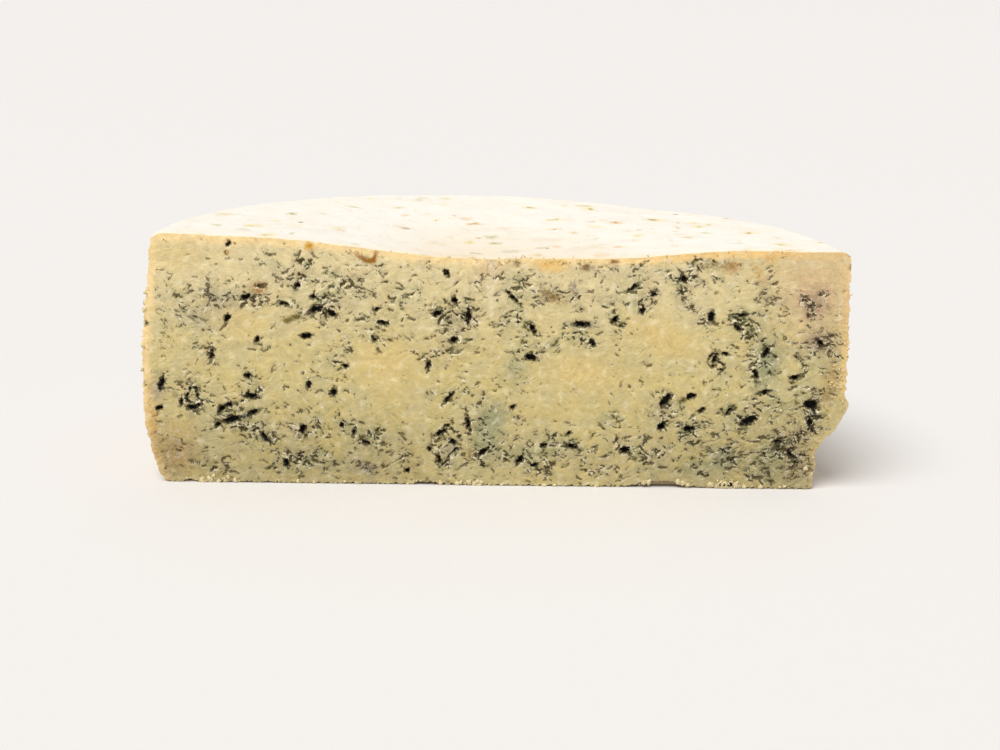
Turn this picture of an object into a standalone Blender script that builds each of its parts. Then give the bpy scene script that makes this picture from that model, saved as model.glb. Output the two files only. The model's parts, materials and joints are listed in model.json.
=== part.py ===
"""Half a wheel of blue-veined cheese, standing on its flat base with the cut face to the front.

The rind is a turned profile, drawn out of round and dished on top by the functions below. One cut
halves the wheel. The pockets that the blue mould opens in the paste are then taken out of the cut
face, and so are the chips along its bottom edge. X runs along the cut face, Y back into the half
wheel and Z up. The origin is under the middle of the part. Lengths are metres.
"""

import math
import random

import bmesh
import bpy
from mathutils import Matrix, Vector, noise

MM = 0.001

# Driving sizes of the whole wheel
BELLY_RADIUS = 105.0 * MM       # at its widest
BELLY_HEIGHT = 28.0 * MM
RIM_HEIGHT = 74.9 * MM
TOP_ROUNDING = 3.2 * MM         # radius of the edge between rind and top
BASE_ROUNDING = 1.2 * MM
CUT_OFFSET = -0.4 * MM          # the cut passes this far in front of the wheel's axis

# The wheel leans and swells: the left end of the cut is angle 180, the right end is angle 0
RIGHT_SWELL = 1.3 * MM          # how much wider the belly is at the right end
LEFT_LEAN = 4.4 * MM            # how far the side draws in between belly and rim
RIGHT_LEAN = 2.3 * MM
LEAN_POWER = 1.7
HEEL_LOSS = 5.3 * MM            # how far the side draws in between belly and base
HEEL_POWER = 2.3

# The right end has lost its heel: the rind is broken away under a ledge
BROKEN_LOSS = 7.4 * MM
BROKEN_FROM = 11.0 * MM
BROKEN_TO = 25.0 * MM
BROKEN_COSINE = 0.86            # the break fades out round the rind where the cosine falls to this
LEDGE_PROUD = 1.0 * MM
LEDGE_HEIGHT = 27.5 * MM
LEDGE_SPREAD = 2.4 * MM

# The top is tilted a little, and has sunk in the middle: x, y, spread along x, spread along y, depth
TOP_TILT_X = -0.0115
TOP_TILT_Y = -0.0030
DISHES = (
    (-9 * MM, 8 * MM, 27 * MM, 42 * MM, 4.9 * MM),
    (38 * MM, 0 * MM, 17 * MM, 26 * MM, 2.3 * MM),
    (52 * MM, 82 * MM, 24 * MM, 30 * MM, 1.2 * MM),
)

# Unevenness of the rind: size of the lumps, and how far they stand proud
KNOB_SIZE = 13.0 * MM
KNOB_HEIGHT = 0.55 * MM
CRUMB_SIZE = 3.6 * MM
CRUMB_HEIGHT = 1.1 * MM

# How finely the wheel is turned
TURN_STEPS = 116
TOP_RINGS = 7
LOW_RINGS = 11                  # between base and belly
HIGH_RINGS = 8                  # between belly and rim
ROUNDING_STEPS = 4

# Pockets in the cut face, in millimetres: x, z, length, width, and the rise to the right in degrees
POCKETS_LEFT = (
    (-78.4, 73.6, 1.6, 1.3, 60), (-73.6, 57.6, 3.0, 1.6, 15), (-79.2, 51.2, 2.6, 1.6, 60),
    (-58.4, 61.3, 2.6, 1.4, 70), (-62.3, 55.8, 3.2, 1.2, -15), (-70.5, 44.7, 2.4, 1.4, 65),
    (-56.0, 46.2, 3.4, 1.7, 5), (-84.3, 40.0, 3.4, 1.3, 75), (-99.6, 31.0, 4.4, 1.6, 80),
    (-100.2, 23.1, 2.4, 1.3, 20), (-93.8, 25.4, 2.6, 1.1, 75), (-91.2, 23.6, 3.0, 1.8, 5),
    (-81.8, 23.2, 2.8, 1.8, 60), (-79.3, 24.6, 2.2, 1.4, 20), (-78.6, 19.9, 5.0, 1.8, 12),
    (-72.0, 22.3, 3.6, 1.3, 25), (-83.1, 18.1, 2.0, 1.6, 30), (-73.5, 33.7, 2.4, 1.7, 0),
    (-72.6, 27.4, 4.4, 1.7, -5), (-68.9, 14.6, 3.8, 1.3, -55), (-57.4, 17.3, 2.8, 1.8, 60),
    (-62.4, 6.4, 2.8, 1.5, -65), (-55.4, 31.2, 2.6, 1.3, 85),
)
POCKETS_MIDDLE = (
    (-53.2, 54.0, 4.6, 1.6, 18), (-53.9, 57.8, 2.0, 1.1, 0), (-48.4, 53.1, 4.0, 1.4, -30),
    (-48.1, 28.8, 2.7, 1.9, 70), (-45.7, 18.7, 1.6, 1.3, -30), (-41.9, 16.5, 2.8, 1.0, 80),
    (-38.4, 13.0, 2.0, 1.4, -20), (-35.2, 54.4, 2.6, 1.0, 40), (-33.4, 50.4, 2.8, 1.3, -10),
    (-44.4, 37.1, 1.7, 1.4, 10), (-35.8, 45.3, 2.0, 1.1, -50), (-14.6, 65.6, 2.2, 1.4, -50),
    (-12.3, 57.6, 2.6, 1.3, -75), (-17.3, 53.6, 3.0, 1.9, 30), (-8.0, 53.0, 5.2, 1.5, 85),
    (-12.4, 45.6, 2.6, 1.6, 10), (-19.8, 37.7, 3.6, 1.3, 85), (-13.6, 27.7, 4.4, 1.0, 50),
    (-15.8, 16.7, 4.6, 1.3, 28), (-12.0, 13.7, 2.2, 1.6, -30), (-16.3, 8.2, 3.4, 1.1, -75),
    (-26.0, 4.5, 1.6, 1.2, 30), (-7.7, 19.6, 6.4, 1.1, -82), (-3.2, 10.6, 4.4, 1.5, 38),
    (4.9, 58.7, 4.8, 1.1, -45), (11.1, 49.3, 3.6, 1.3, -68), (10.5, 40.5, 3.6, 2.2, -12),
    (25.4, 51.0, 4.6, 1.8, -5), (28.8, 45.4, 2.8, 1.4, -60), (5.7, 25.0, 1.9, 1.4, 20),
    (8.1, 8.3, 3.0, 1.7, 55), (12.8, 6.7, 1.9, 1.3, 0), (23.0, 16.9, 1.6, 1.1, 30),
    (15.4, 13.0, 1.9, 1.3, 10), (23.8, 12.7, 4.2, 1.1, -10),
)
POCKETS_RIGHT = (
    (40.4, 62.4, 3.6, 1.1, 32), (46.4, 60.4, 2.2, 1.2, -10), (43.1, 55.6, 2.4, 1.7, 80),
    (35.2, 52.5, 2.4, 1.7, 40), (39.9, 11.9, 2.9, 2.0, 20), (51.6, 27.8, 4.6, 2.2, 52),
    (50.7, 19.6, 2.6, 2.2, 60), (55.0, 64.9, 3.2, 1.5, -10), (63.8, 53.9, 3.9, 1.7, 85),
    (73.4, 54.4, 2.6, 1.2, 20), (72.0, 50.6, 2.8, 1.1, -55), (81.2, 43.2, 3.2, 1.6, 55),
    (65.7, 40.6, 4.6, 1.4, 78), (68.7, 42.5, 2.4, 1.1, -15), (59.0, 18.9, 3.6, 1.9, 0),
    (62.6, 24.8, 2.2, 1.2, 30), (59.2, 29.2, 2.6, 2.0, 0), (71.4, 24.9, 3.2, 1.3, 55),
    (77.5, 21.7, 5.6, 2.4, 28), (78.4, 36.2, 3.0, 1.4, -75), (81.4, 30.7, 4.0, 1.1, 15),
    (90.6, 35.4, 2.4, 1.5, 20), (96.3, 27.0, 4.4, 2.8, -20), (96.4, 21.6, 3.4, 1.8, -60),
    (91.8, 11.4, 3.6, 1.2, -70), (86.6, 15.3, 2.6, 1.1, 0), (97.5, 46.0, 3.4, 1.3, -55),
)
POCKET_DEPTH_SHARE = 0.95       # depth of a pocket over its width
POCKET_RAGGED = 0.2             # how far its wall wanders, over its radius
POCKET_PROUD = 0.23 * MM        # its middle stands this far out of the cut face
FINE_POCKET = 1.5 * MM          # a pocket at least this wide gets a finer ball

# Chips out of the bottom edge of the cut face, in millimetres: x, length, height, depth
BOTTOM_CHIPS = ((-91.9, 3.4, 1.3, 1.6), (51.5, 21.0, 1.9, 3.0), (-20.0, 9.0, 0.8, 1.2))

PASTE_COLOUR = (0.64, 0.51, 0.26, 1.0)
PASTE_ROUGHNESS = 0.62


def clear_scene():
    """Remove whatever the scene holds."""
    for leftover in list(bpy.data.objects):
        bpy.data.objects.remove(leftover, do_unlink=True)


def new_collection(name):
    """Return an empty collection linked to the scene."""
    collection = bpy.data.collections.new(name)
    bpy.context.scene.collection.children.link(collection)
    return collection


def new_material(name, colour, roughness):
    """Return a plain Principled material."""
    material = bpy.data.materials.new(name)
    material.use_nodes = True
    shader = material.node_tree.nodes["Principled BSDF"]
    shader.inputs["Base Color"].default_value = colour
    shader.inputs["Roughness"].default_value = roughness
    shader.inputs["Metallic"].default_value = 0.0
    return material


def new_object(name, mesh, collection):
    """Return a mesh object in the collection."""
    thing = bpy.data.objects.new(name, mesh)
    collection.objects.link(thing)
    return thing


def mix(first, second, share):
    """Blend two numbers."""
    return first + (second - first) * share


def smooth_step(low, high, value):
    """Rise smoothly from 0 at low to 1 at high."""
    share = min(max((value - low) / (high - low), 0.0), 1.0)
    return share * share * (3.0 - 2.0 * share)


def lumps(point, size, seed):
    """Return smooth noise between -1 and 1, with lumps of the size given."""
    return noise.noise(point / size + Vector((seed, 2.7 * seed, -1.3 * seed)))


def side_radius(angle, height):
    """Return how far out the rind stands at an angle round the wheel and a height."""
    right_share = 0.5 * (1.0 + math.cos(angle))
    broken = smooth_step(BROKEN_COSINE, 1.0, math.cos(angle))
    belly = BELLY_RADIUS + RIGHT_SWELL * right_share
    if height > BELLY_HEIGHT:
        climb = (height - BELLY_HEIGHT) / (RIM_HEIGHT - BELLY_HEIGHT)
        return belly - mix(LEFT_LEAN, RIGHT_LEAN, right_share) * climb ** LEAN_POWER
    heel = HEEL_LOSS * (1.0 - max(height, 0.0) / BELLY_HEIGHT) ** HEEL_POWER
    broken_heel = BROKEN_LOSS * (1.0 - smooth_step(BROKEN_FROM, BROKEN_TO, height))
    ledge = LEDGE_PROUD * math.exp(-(((height - LEDGE_HEIGHT) / LEDGE_SPREAD) ** 2))
    return belly + ledge * broken - mix(heel, broken_heel, broken)


def top_height(x, y):
    """Return the height of the top: a tilted plane less what has sunk."""
    height = RIM_HEIGHT + TOP_TILT_X * x + TOP_TILT_Y * y
    for middle_x, middle_y, spread_x, spread_y, depth in DISHES:
        away = ((x - middle_x) / spread_x) ** 2 + ((y - middle_y) / spread_y) ** 2
        height -= depth * math.exp(-0.5 * away)
    return height


def wheel_profile():
    """Return the turned outline as (radius, height), from the middle of the top to that of the base."""
    shoulder = BELLY_RADIUS - TOP_ROUNDING
    outline = [(shoulder * ring / TOP_RINGS, RIM_HEIGHT) for ring in range(TOP_RINGS)]
    for step in range(ROUNDING_STEPS + 1):
        turn = 0.5 * math.pi * step / ROUNDING_STEPS
        outline.append((shoulder + TOP_ROUNDING * math.sin(turn),
                        RIM_HEIGHT - TOP_ROUNDING * (1.0 - math.cos(turn))))
    side_top = RIM_HEIGHT - TOP_ROUNDING
    outline += [(BELLY_RADIUS, mix(side_top, BELLY_HEIGHT, ring / HIGH_RINGS))
                for ring in range(1, HIGH_RINGS + 1)]
    outline += [(BELLY_RADIUS, mix(BELLY_HEIGHT, BASE_ROUNDING, ring / LOW_RINGS))
                for ring in range(1, LOW_RINGS + 1)]
    outline += [(BELLY_RADIUS - BASE_ROUNDING, 0.0), (0.0, 0.0)]
    return outline


def turn_wheel(collection):
    """Turn the profile with a Screw and return the whole wheel as a plain mesh object."""
    outline = wheel_profile()
    mesh = bpy.data.meshes.new("wheel_profile")
    mesh.from_pydata([(radius, 0.0, height) for radius, height in outline],
                     [(start, start + 1) for start in range(len(outline) - 1)], [])
    profile = new_object("wheel_profile", mesh, collection)
    screw = profile.modifiers.new("Turn", "SCREW")
    screw.angle = 2.0 * math.pi
    screw.steps = TURN_STEPS
    screw.render_steps = TURN_STEPS
    screw.use_merge_vertices = True
    screw.merge_threshold = 0.05 * MM
    bpy.context.view_layer.update()
    turned = profile.evaluated_get(bpy.context.evaluated_depsgraph_get())
    wheel = new_object("cheese", bpy.data.meshes.new_from_object(turned), collection)
    bpy.data.objects.remove(profile, do_unlink=True)
    return wheel


def shape_wheel(wheel):
    """Draw the plain turned wheel out of round, dish its top and roughen its rind."""
    for vertex in wheel.data.vertices:
        plain = vertex.co.copy()
        angle = math.atan2(plain.y, plain.x)
        spread = side_radius(angle, plain.z) / BELLY_RADIUS
        place = Vector((plain.x * spread, plain.y * spread, plain.z))
        place.z *= top_height(place.x, place.y) / RIM_HEIGHT
        outward = Vector((math.cos(angle), math.sin(angle), 0.0))
        edge = smooth_step(0.55, 1.0, plain.xy.length / BELLY_RADIUS)
        place += outward * (KNOB_HEIGHT * edge * lumps(plain, KNOB_SIZE, 3.0))
        broken = smooth_step(BROKEN_COSINE, 1.0, math.cos(angle))
        low = 1.0 - smooth_step(BROKEN_TO, BROKEN_TO + CRUMB_SIZE, plain.z)
        place += outward * (CRUMB_HEIGHT * edge * broken * low * lumps(plain, CRUMB_SIZE, 7.0))
        lifted = smooth_step(0.0, RIM_HEIGHT, plain.z)
        place.z += KNOB_HEIGHT * lifted * lumps(plain, KNOB_SIZE, 11.0)
        vertex.co = place


def cut_away(body, cutters, name):
    """Take a collection of cutters, or one cutter, out of the body for good."""
    cut = body.modifiers.new(name, "BOOLEAN")
    cut.operation = "DIFFERENCE"
    cut.solver = "EXACT"
    if isinstance(cutters, bpy.types.Collection):
        cut.operand_type = "COLLECTION"
        cut.collection = cutters
    else:
        cut.object = cutters
    bpy.context.view_layer.update()
    evaluated = body.evaluated_get(bpy.context.evaluated_depsgraph_get())
    finished = bpy.data.meshes.new_from_object(evaluated)
    body.modifiers.remove(cut)
    body.data = finished


def new_cutter(name, shape, collection):
    """Make a cutter from a bmesh, shown as wire and left out of the render."""
    mesh = bpy.data.meshes.new(name)
    shape.to_mesh(mesh)
    shape.free()
    cutter = new_object(name, mesh, collection)
    cutter.hide_render = True
    cutter.display_type = "WIRE"
    return cutter


def front_half_cutter(collection):
    """Return the block that takes the front half of the wheel away."""
    reach = 1.3 * BELLY_RADIUS
    shape = bmesh.new()
    bmesh.ops.create_cube(shape, size=2.0 * reach)
    bmesh.ops.translate(shape, verts=shape.verts, vec=(0.0, CUT_OFFSET - reach, 0.5 * RIM_HEIGHT))
    return new_cutter("front_half", shape, collection)


def ragged_ball(half_sizes, place, tilt, draw):
    """Return a bmesh ball with a wandering wall, squashed to the half sizes and tilted in the face."""
    shape = bmesh.new()
    detail = 2 if 2.0 * half_sizes[2] >= FINE_POCKET else 1
    bmesh.ops.create_icosphere(shape, subdivisions=detail, radius=1.0)
    for vertex in shape.verts:
        vertex.co *= 1.0 + POCKET_RAGGED * draw.uniform(-1.0, 1.0)
    size = Matrix.Diagonal((*half_sizes, 1.0))
    turn = Matrix.Rotation(-math.radians(tilt), 4, "Y")
    shape.transform(Matrix.Translation(place) @ turn @ size)
    return shape


def pocket_cutters(collection):
    """Fill the collection with one ragged ball for each pocket and chip of the cut face."""
    draw = random.Random(20)
    front = CUT_OFFSET - POCKET_PROUD
    for index, row in enumerate(POCKETS_LEFT + POCKETS_MIDDLE + POCKETS_RIGHT):
        x, z, length, width, tilt = row
        half_sizes = (0.5 * length * MM, POCKET_DEPTH_SHARE * width * MM, 0.5 * width * MM)
        shape = ragged_ball(half_sizes, Vector((x * MM, front, z * MM)), tilt, draw)
        new_cutter(f"pocket_{index:02d}", shape, collection)
    for index, (x, length, height, depth) in enumerate(BOTTOM_CHIPS):
        half_sizes = (0.5 * length * MM, depth * MM, height * MM)
        shape = ragged_ball(half_sizes, Vector((x * MM, front, -POCKET_PROUD)), 0.0, draw)
        new_cutter(f"chip_{index}", shape, collection)


def centre_on_origin(body):
    """Move the mesh so that the origin is under the middle of its bounding box."""
    corners = [vertex.co for vertex in body.data.vertices]
    low = Vector([min(corner[axis] for corner in corners) for axis in range(3)])
    high = Vector([max(corner[axis] for corner in corners) for axis in range(3)])
    body.data.transform(Matrix.Translation((-0.5 * (low.x + high.x), -0.5 * (low.y + high.y), -low.z)))


def main():
    """Build the half wheel."""
    clear_scene()
    parts = new_collection("half_wheel_of_cheese")
    cutters = new_collection("cutters")
    pockets = new_collection("pocket_cutters")

    cheese = turn_wheel(parts)
    shape_wheel(cheese)
    cut_away(cheese, front_half_cutter(cutters), "Halve the wheel")
    pocket_cutters(pockets)
    cut_away(cheese, pockets, "Open the pockets")
    centre_on_origin(cheese)

    cheese.data.materials.clear()
    cheese.data.materials.append(new_material("paste", PASTE_COLOUR, PASTE_ROUGHNESS))
    cheese.data.shade_smooth()
    cheese.data.set_sharp_from_angle(angle=math.radians(35.0))


main()
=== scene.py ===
"""Half a wheel of blue-veined cheese: the finished look of the part.

The paste and rind are one dense closed mesh. Python lays out a plain half wheel, with its points
close together where the veins are, and stores on it what the cut face holds: veins, pockets, stains
and the distance to the rind. Geometry Nodes then shape it by the same rules as the part's source,
open the pockets and the gaps between curds, and roughen the rind. Crumbs and short frays of curd
are scattered by a tree each. Lengths are metres, and millimetres on the cut face's maps, in patterns
and in names that end in _mm.
"""

import json
import logging
import math
from dataclasses import dataclass, fields
from enum import Enum
from typing import Any, ClassVar, Iterable, TypeVar, Union

import bmesh
import bpy
import numpy as np
from mathutils import Matrix, Vector
from mathutils.geometry import delaunay_2d_cdt

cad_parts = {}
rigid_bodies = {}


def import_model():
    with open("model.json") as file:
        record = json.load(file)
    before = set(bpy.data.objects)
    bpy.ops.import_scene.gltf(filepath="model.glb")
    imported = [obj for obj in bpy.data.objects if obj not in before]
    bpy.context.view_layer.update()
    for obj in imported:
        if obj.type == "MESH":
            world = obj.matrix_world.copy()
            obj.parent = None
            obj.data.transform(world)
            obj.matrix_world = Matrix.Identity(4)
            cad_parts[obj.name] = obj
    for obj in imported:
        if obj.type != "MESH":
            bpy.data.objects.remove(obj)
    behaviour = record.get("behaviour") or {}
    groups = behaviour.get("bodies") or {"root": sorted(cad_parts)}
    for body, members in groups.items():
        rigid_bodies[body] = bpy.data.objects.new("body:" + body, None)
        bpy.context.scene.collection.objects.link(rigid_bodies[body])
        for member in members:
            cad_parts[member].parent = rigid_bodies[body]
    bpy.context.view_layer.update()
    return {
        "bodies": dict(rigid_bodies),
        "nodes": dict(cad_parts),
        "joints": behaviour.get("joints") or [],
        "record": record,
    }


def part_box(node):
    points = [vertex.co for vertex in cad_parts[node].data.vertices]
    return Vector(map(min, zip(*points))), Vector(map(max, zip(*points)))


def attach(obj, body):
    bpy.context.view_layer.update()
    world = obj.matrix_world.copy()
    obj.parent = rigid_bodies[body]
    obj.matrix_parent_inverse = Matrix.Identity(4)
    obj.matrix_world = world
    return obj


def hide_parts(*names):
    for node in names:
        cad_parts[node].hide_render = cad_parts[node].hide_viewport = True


LOG = logging.getLogger("cheese")
MM = 0.001
TINY = 1e-6
BODY = "root"
NODE = "cheese"
BAKE_MAP = "OFBake"

Colour = tuple[float, float, float, float]
Number = Union["Wire", np.ndarray, float]
Link = Union["Wire", "Arrow", bpy.types.NodeSocket, float, Colour, Vector, str, None]
Group = TypeVar("Group")


# ---------------------------------------------------------------- numbers, wires and node trees


class Wire:
    """A number's socket in a node tree. Python's operators on it add Math nodes."""

    __array_ufunc__ = None

    def __init__(self, bench: "Bench", socket: bpy.types.NodeSocket) -> None:
        """Keep the socket and the bench that it is on."""
        self.bench = bench
        self.socket = socket

    def __add__(self, other: Number) -> "Wire":
        """Add."""
        return self.bench.math("ADD", self, other)

    __radd__ = __add__

    def __sub__(self, other: Number) -> "Wire":
        """Subtract."""
        return self.bench.math("SUBTRACT", self, other)

    def __rsub__(self, other: Number) -> "Wire":
        """Subtract from a number."""
        return self.bench.math("SUBTRACT", other, self)

    def __mul__(self, other: Number) -> "Wire":
        """Multiply."""
        return self.bench.math("MULTIPLY", self, other)

    __rmul__ = __mul__

    def __truediv__(self, other: Number) -> "Wire":
        """Divide."""
        return self.bench.math("DIVIDE", self, other)

    def __rtruediv__(self, other: Number) -> "Wire":
        """Divide a number."""
        return self.bench.math("DIVIDE", other, self)

    def __pow__(self, other: Number) -> "Wire":
        """Raise to a power."""
        return self.bench.math("POWER", self, other)

    def __neg__(self) -> "Wire":
        """Change the sign."""
        return self.bench.math("MULTIPLY", self, -1.0)


class Arrow:
    """A vector's socket in a node tree. Its operators add Vector Math nodes."""

    def __init__(self, bench: "Bench", socket: bpy.types.NodeSocket) -> None:
        """Keep the socket and the bench that it is on."""
        self.bench = bench
        self.socket = socket

    def __add__(self, other: Link) -> "Arrow":
        """Add a vector."""
        return self.bench.vector_math("ADD", {0: self, 1: other})

    def __sub__(self, other: Link) -> "Arrow":
        """Subtract a vector."""
        return self.bench.vector_math("SUBTRACT", {0: self, 1: other})

    def __mul__(self, scale: Number) -> "Arrow":
        """Scale by a number."""
        return self.bench.vector_math("SCALE", {0: self, "Scale": scale})

    def parts(self) -> tuple[Wire, Wire, Wire]:
        """Return the x, y and z of the vector."""
        split = self.bench.node("ShaderNodeSeparateXYZ", inputs={0: self})
        return tuple(Wire(self.bench, output) for output in split.outputs)


class Bench:
    """A node tree with one method that adds any node, and short ones for sums and patterns."""

    def __init__(self, tree: bpy.types.NodeTree) -> None:
        """Keep the tree."""
        self.tree = tree

    def node(self, kind: str, settings: dict[str, Any] | None = None,
             inputs: dict[str | int, Link] | None = None) -> bpy.types.Node:
        """Add a node.

        Args:
            kind: The node's type.
            settings: Its properties, set before its sockets.
            inputs: A value or a link for each socket, by identifier, name or number.

        Returns:
            The new node.
        """
        made = self.tree.nodes.new(kind)
        for name, value in (settings or {}).items():
            setattr(made, name, value)
        for name, value in (inputs or {}).items():
            self.feed(self.find(made.inputs, name), value)
        return made

    @staticmethod
    def find(sockets: bpy.types.bpy_prop_collection, name: str | int) -> bpy.types.NodeSocket:
        """Return the socket with this identifier, name or number."""
        if isinstance(name, int):
            return sockets[name]
        for socket in sockets:
            if socket.identifier == name:
                return socket
        return sockets[name]

    def feed(self, socket: bpy.types.NodeSocket, value: Link) -> None:
        """Link a socket, or set its value."""
        if isinstance(value, (Wire, Arrow)):
            self.tree.links.new(value.socket, socket)
        elif isinstance(value, bpy.types.NodeSocket):
            self.tree.links.new(value, socket)
        elif value is not None:
            socket.default_value = value

    def math(self, operation: str, first: Number, second: Number | None = None) -> Wire:
        """Add a Math node and return its result."""
        inputs = {0: first} if second is None else {0: first, 1: second}
        return Wire(self, self.node("ShaderNodeMath", {"operation": operation}, inputs).outputs[0])

    def vector_math(self, operation: str, inputs: dict[str | int, Link]) -> Arrow:
        """Add a Vector Math node and return its result."""
        return Arrow(self, self.node("ShaderNodeVectorMath", {"operation": operation}, inputs).outputs[0])

    def join(self, x: Number, y: Number, z: Number) -> Arrow:
        """Return the vector with these three parts."""
        return Arrow(self, self.node("ShaderNodeCombineXYZ", inputs={0: x, 1: y, 2: z}).outputs[0])

    def noise(self, place: Arrow, size: Number, detail: float = 2.0, roughness: float = 0.5) -> Wire:
        """Return smooth noise from 0 to 1 whose lumps have about this size."""
        made = self.node("ShaderNodeTexNoise", {"noise_dimensions": "3D"}, {
            "Vector": place, "Scale": 1.0 / size, "Detail": detail, "Roughness": roughness})
        return Wire(self, self.find(made.outputs, "Fac"))

    def wave(self, place: Arrow, size: Number, swing: Number, detail: float = 3.0,
             roughness: float = 0.6) -> Wire:
        """Return noise about 0, from half the swing below it to half above."""
        return (self.noise(place, size, detail, roughness) - 0.5) * swing

    def noise_vector(self, place: Arrow, size: float, detail: float = 1.0) -> Arrow:
        """Return a wandering vector with parts from -0.5 to 0.5."""
        made = self.node("ShaderNodeTexNoise", {"noise_dimensions": "3D"}, {
            "Vector": place, "Scale": 1.0 / size, "Detail": detail})
        return Arrow(self, self.find(made.outputs, "Color")) - Vector((0.5, 0.5, 0.5))

    def cells(self, place: Arrow, size: float, dimensions: str = "3D",
              randomness: float = 1.0) -> tuple[Wire, Arrow, Arrow]:
        """Return how far off the nearest of some scattered points is, its colour and its place."""
        made = self.node("ShaderNodeTexVoronoi", {"voronoi_dimensions": dimensions, "feature": "F1"}, {
            "Vector": place, "Scale": 1.0 / size, "Randomness": randomness})
        away, colour, middle = (self.find(made.outputs, name) for name in ("Distance", "Color", "Position"))
        return Wire(self, away), Arrow(self, colour), Arrow(self, middle)

    def blend(self, first: Link, second: Link, share: Number) -> Arrow:
        """Return one colour blended into another."""
        made = self.node("ShaderNodeMix", {"data_type": "RGBA", "clamp_factor": True}, {
            "Factor_Float": share, "A_Color": first, "B_Color": second})
        return Arrow(self, self.find(made.outputs, "Result_Color"))

    def attribute(self, name: str) -> Wire:
        """Return a number stored on the mesh."""
        if self.tree.type == "GEOMETRY":
            made = self.node("GeometryNodeInputNamedAttribute", {"data_type": "FLOAT"}, {"Name": name})
            return Wire(self, self.find(made.outputs, "Attribute"))
        made = self.node("ShaderNodeAttribute", {"attribute_name": name})
        return Wire(self, made.outputs["Fac"])


def exp(value: Number) -> Number:
    """Return e to the power of a number, an array or a wire."""
    return value.bench.math("EXPONENT", value) if isinstance(value, Wire) else np.exp(value)


def most(first: Number, second: Number) -> Number:
    """Return the larger of two numbers, arrays or wires, where the first is a wire if either is."""
    if isinstance(first, Wire):
        return first.bench.math("MAXIMUM", first, second)
    return np.maximum(first, second)


def least(first: Number, second: Number) -> Number:
    """Return the smaller of two numbers, arrays or wires, where the first is a wire if either is."""
    if isinstance(first, Wire):
        return first.bench.math("MINIMUM", first, second)
    return np.minimum(first, second)


def clamped(value: Number) -> Number:
    """Hold a number, array or wire between 0 and 1."""
    return least(most(value, 0.0), 1.0)


def smooth_step(low: Number, high: Number, value: Number) -> Number:
    """Rise smoothly from 0 at low to 1 at high."""
    share = clamped((value - low) / (high - low))
    return share * share * (3.0 - 2.0 * share)


def mix(first: Number, second: Number, share: Number) -> Number:
    """Blend two numbers."""
    return first + (second - first) * share


def tone(red: float, green: float, blue: float) -> Colour:
    """Return the linear colour of a screen colour given from 0 to 255."""
    shares = [part / 255.0 for part in (red, green, blue)]
    linear = [part / 12.92 if part <= 0.04045 else ((part + 0.055) / 1.055) ** 2.4 for part in shares]
    return (*linear, 1.0)


# ---------------------------------------------------------------- the shape of the half wheel


@dataclass(frozen=True)
class Dish:
    """A place where the top has sunk, in metres from the wheel's axis."""

    x: float
    y: float
    spread_x: float
    spread_y: float
    depth: float


DISHES = (
    Dish(-9 * MM, 8 * MM, 27 * MM, 42 * MM, 4.9 * MM),
    Dish(38 * MM, 0.0, 17 * MM, 26 * MM, 2.3 * MM),
    Dish(52 * MM, 82 * MM, 24 * MM, 30 * MM, 1.2 * MM),
)


@dataclass(frozen=True)
class WheelSizes:
    """The wheel's driving sizes. A tree holds the same names as inputs, so the rules serve both."""

    belly_radius: Number = 105.0 * MM
    belly_height: Number = 28.0 * MM
    rim_height: Number = 74.9 * MM
    right_swell: Number = 1.3 * MM
    left_lean: Number = 4.4 * MM
    right_lean: Number = 2.3 * MM
    lean_power: Number = 1.7
    heel_loss: Number = 5.3 * MM
    heel_power: Number = 2.3
    broken_loss: Number = 7.4 * MM
    broken_from: Number = 11.0 * MM
    broken_to: Number = 25.0 * MM
    broken_cosine: Number = 0.86
    ledge_proud: Number = 1.0 * MM
    ledge_height: Number = 27.5 * MM
    ledge_spread: Number = 2.4 * MM
    top_tilt_x: Number = -0.0115
    top_tilt_y: Number = -0.0030

    def broken(self, cosine: Number) -> Number:
        """Return how much of the heel is broken away, from 0 to 1, by the cosine of the angle."""
        return smooth_step(self.broken_cosine, 1.0, cosine)

    def side_radius(self, cosine: Number, height: Number) -> Number:
        """Return how far out the rind stands.

        Args:
            cosine: The cosine of the angle round the wheel, 1 at the right end of the cut.
            height: The height above the base.

        Returns:
            The radius there.
        """
        right_share = 0.5 + 0.5 * cosine
        broken = self.broken(cosine)
        climb = most(height - self.belly_height, 0.0) / (self.rim_height - self.belly_height)
        lean = mix(self.left_lean, self.right_lean, right_share) * climb ** self.lean_power
        heel = self.heel_loss * clamped(1.0 - height / self.belly_height) ** self.heel_power
        broken_heel = self.broken_loss * (1.0 - smooth_step(self.broken_from, self.broken_to, height))
        over = (height - self.ledge_height) / self.ledge_spread
        ledge = self.ledge_proud * exp(-(over * over))
        swell = self.right_swell * right_share
        return self.belly_radius + swell + ledge * broken - lean - mix(heel, broken_heel, broken)

    def top_height(self, x: Number, y: Number) -> Number:
        """Return the height of the top above a place: a tilted plane less what has sunk."""
        height = self.rim_height + self.top_tilt_x * x + self.top_tilt_y * y
        for dish in DISHES:
            along = (x - dish.x) / dish.spread_x
            back = (y - dish.y) / dish.spread_y
            height = height - dish.depth * exp(-0.5 * (along * along + back * back))
        return height


# ---------------------------------------------------------------- what the cut face holds


class Stain(Enum):
    """The colours of the stains in the paste."""

    AMBER = (200, 146, 22)
    RUST = (152, 99, 14)
    BROWN = (122, 94, 40)
    OLIVE = (104, 92, 30)
    ORANGE = (230, 186, 104)
    GOLD = (213, 188, 124)
    BLUE = (148, 151, 114)
    LILAC = (166, 154, 130)
    PURPLE = (98, 80, 86)
    PEACH = (216, 184, 138)
    TAN = (178, 138, 84)
    CHALK = (222, 208, 168)
    SOOT = (44, 42, 38)


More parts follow.
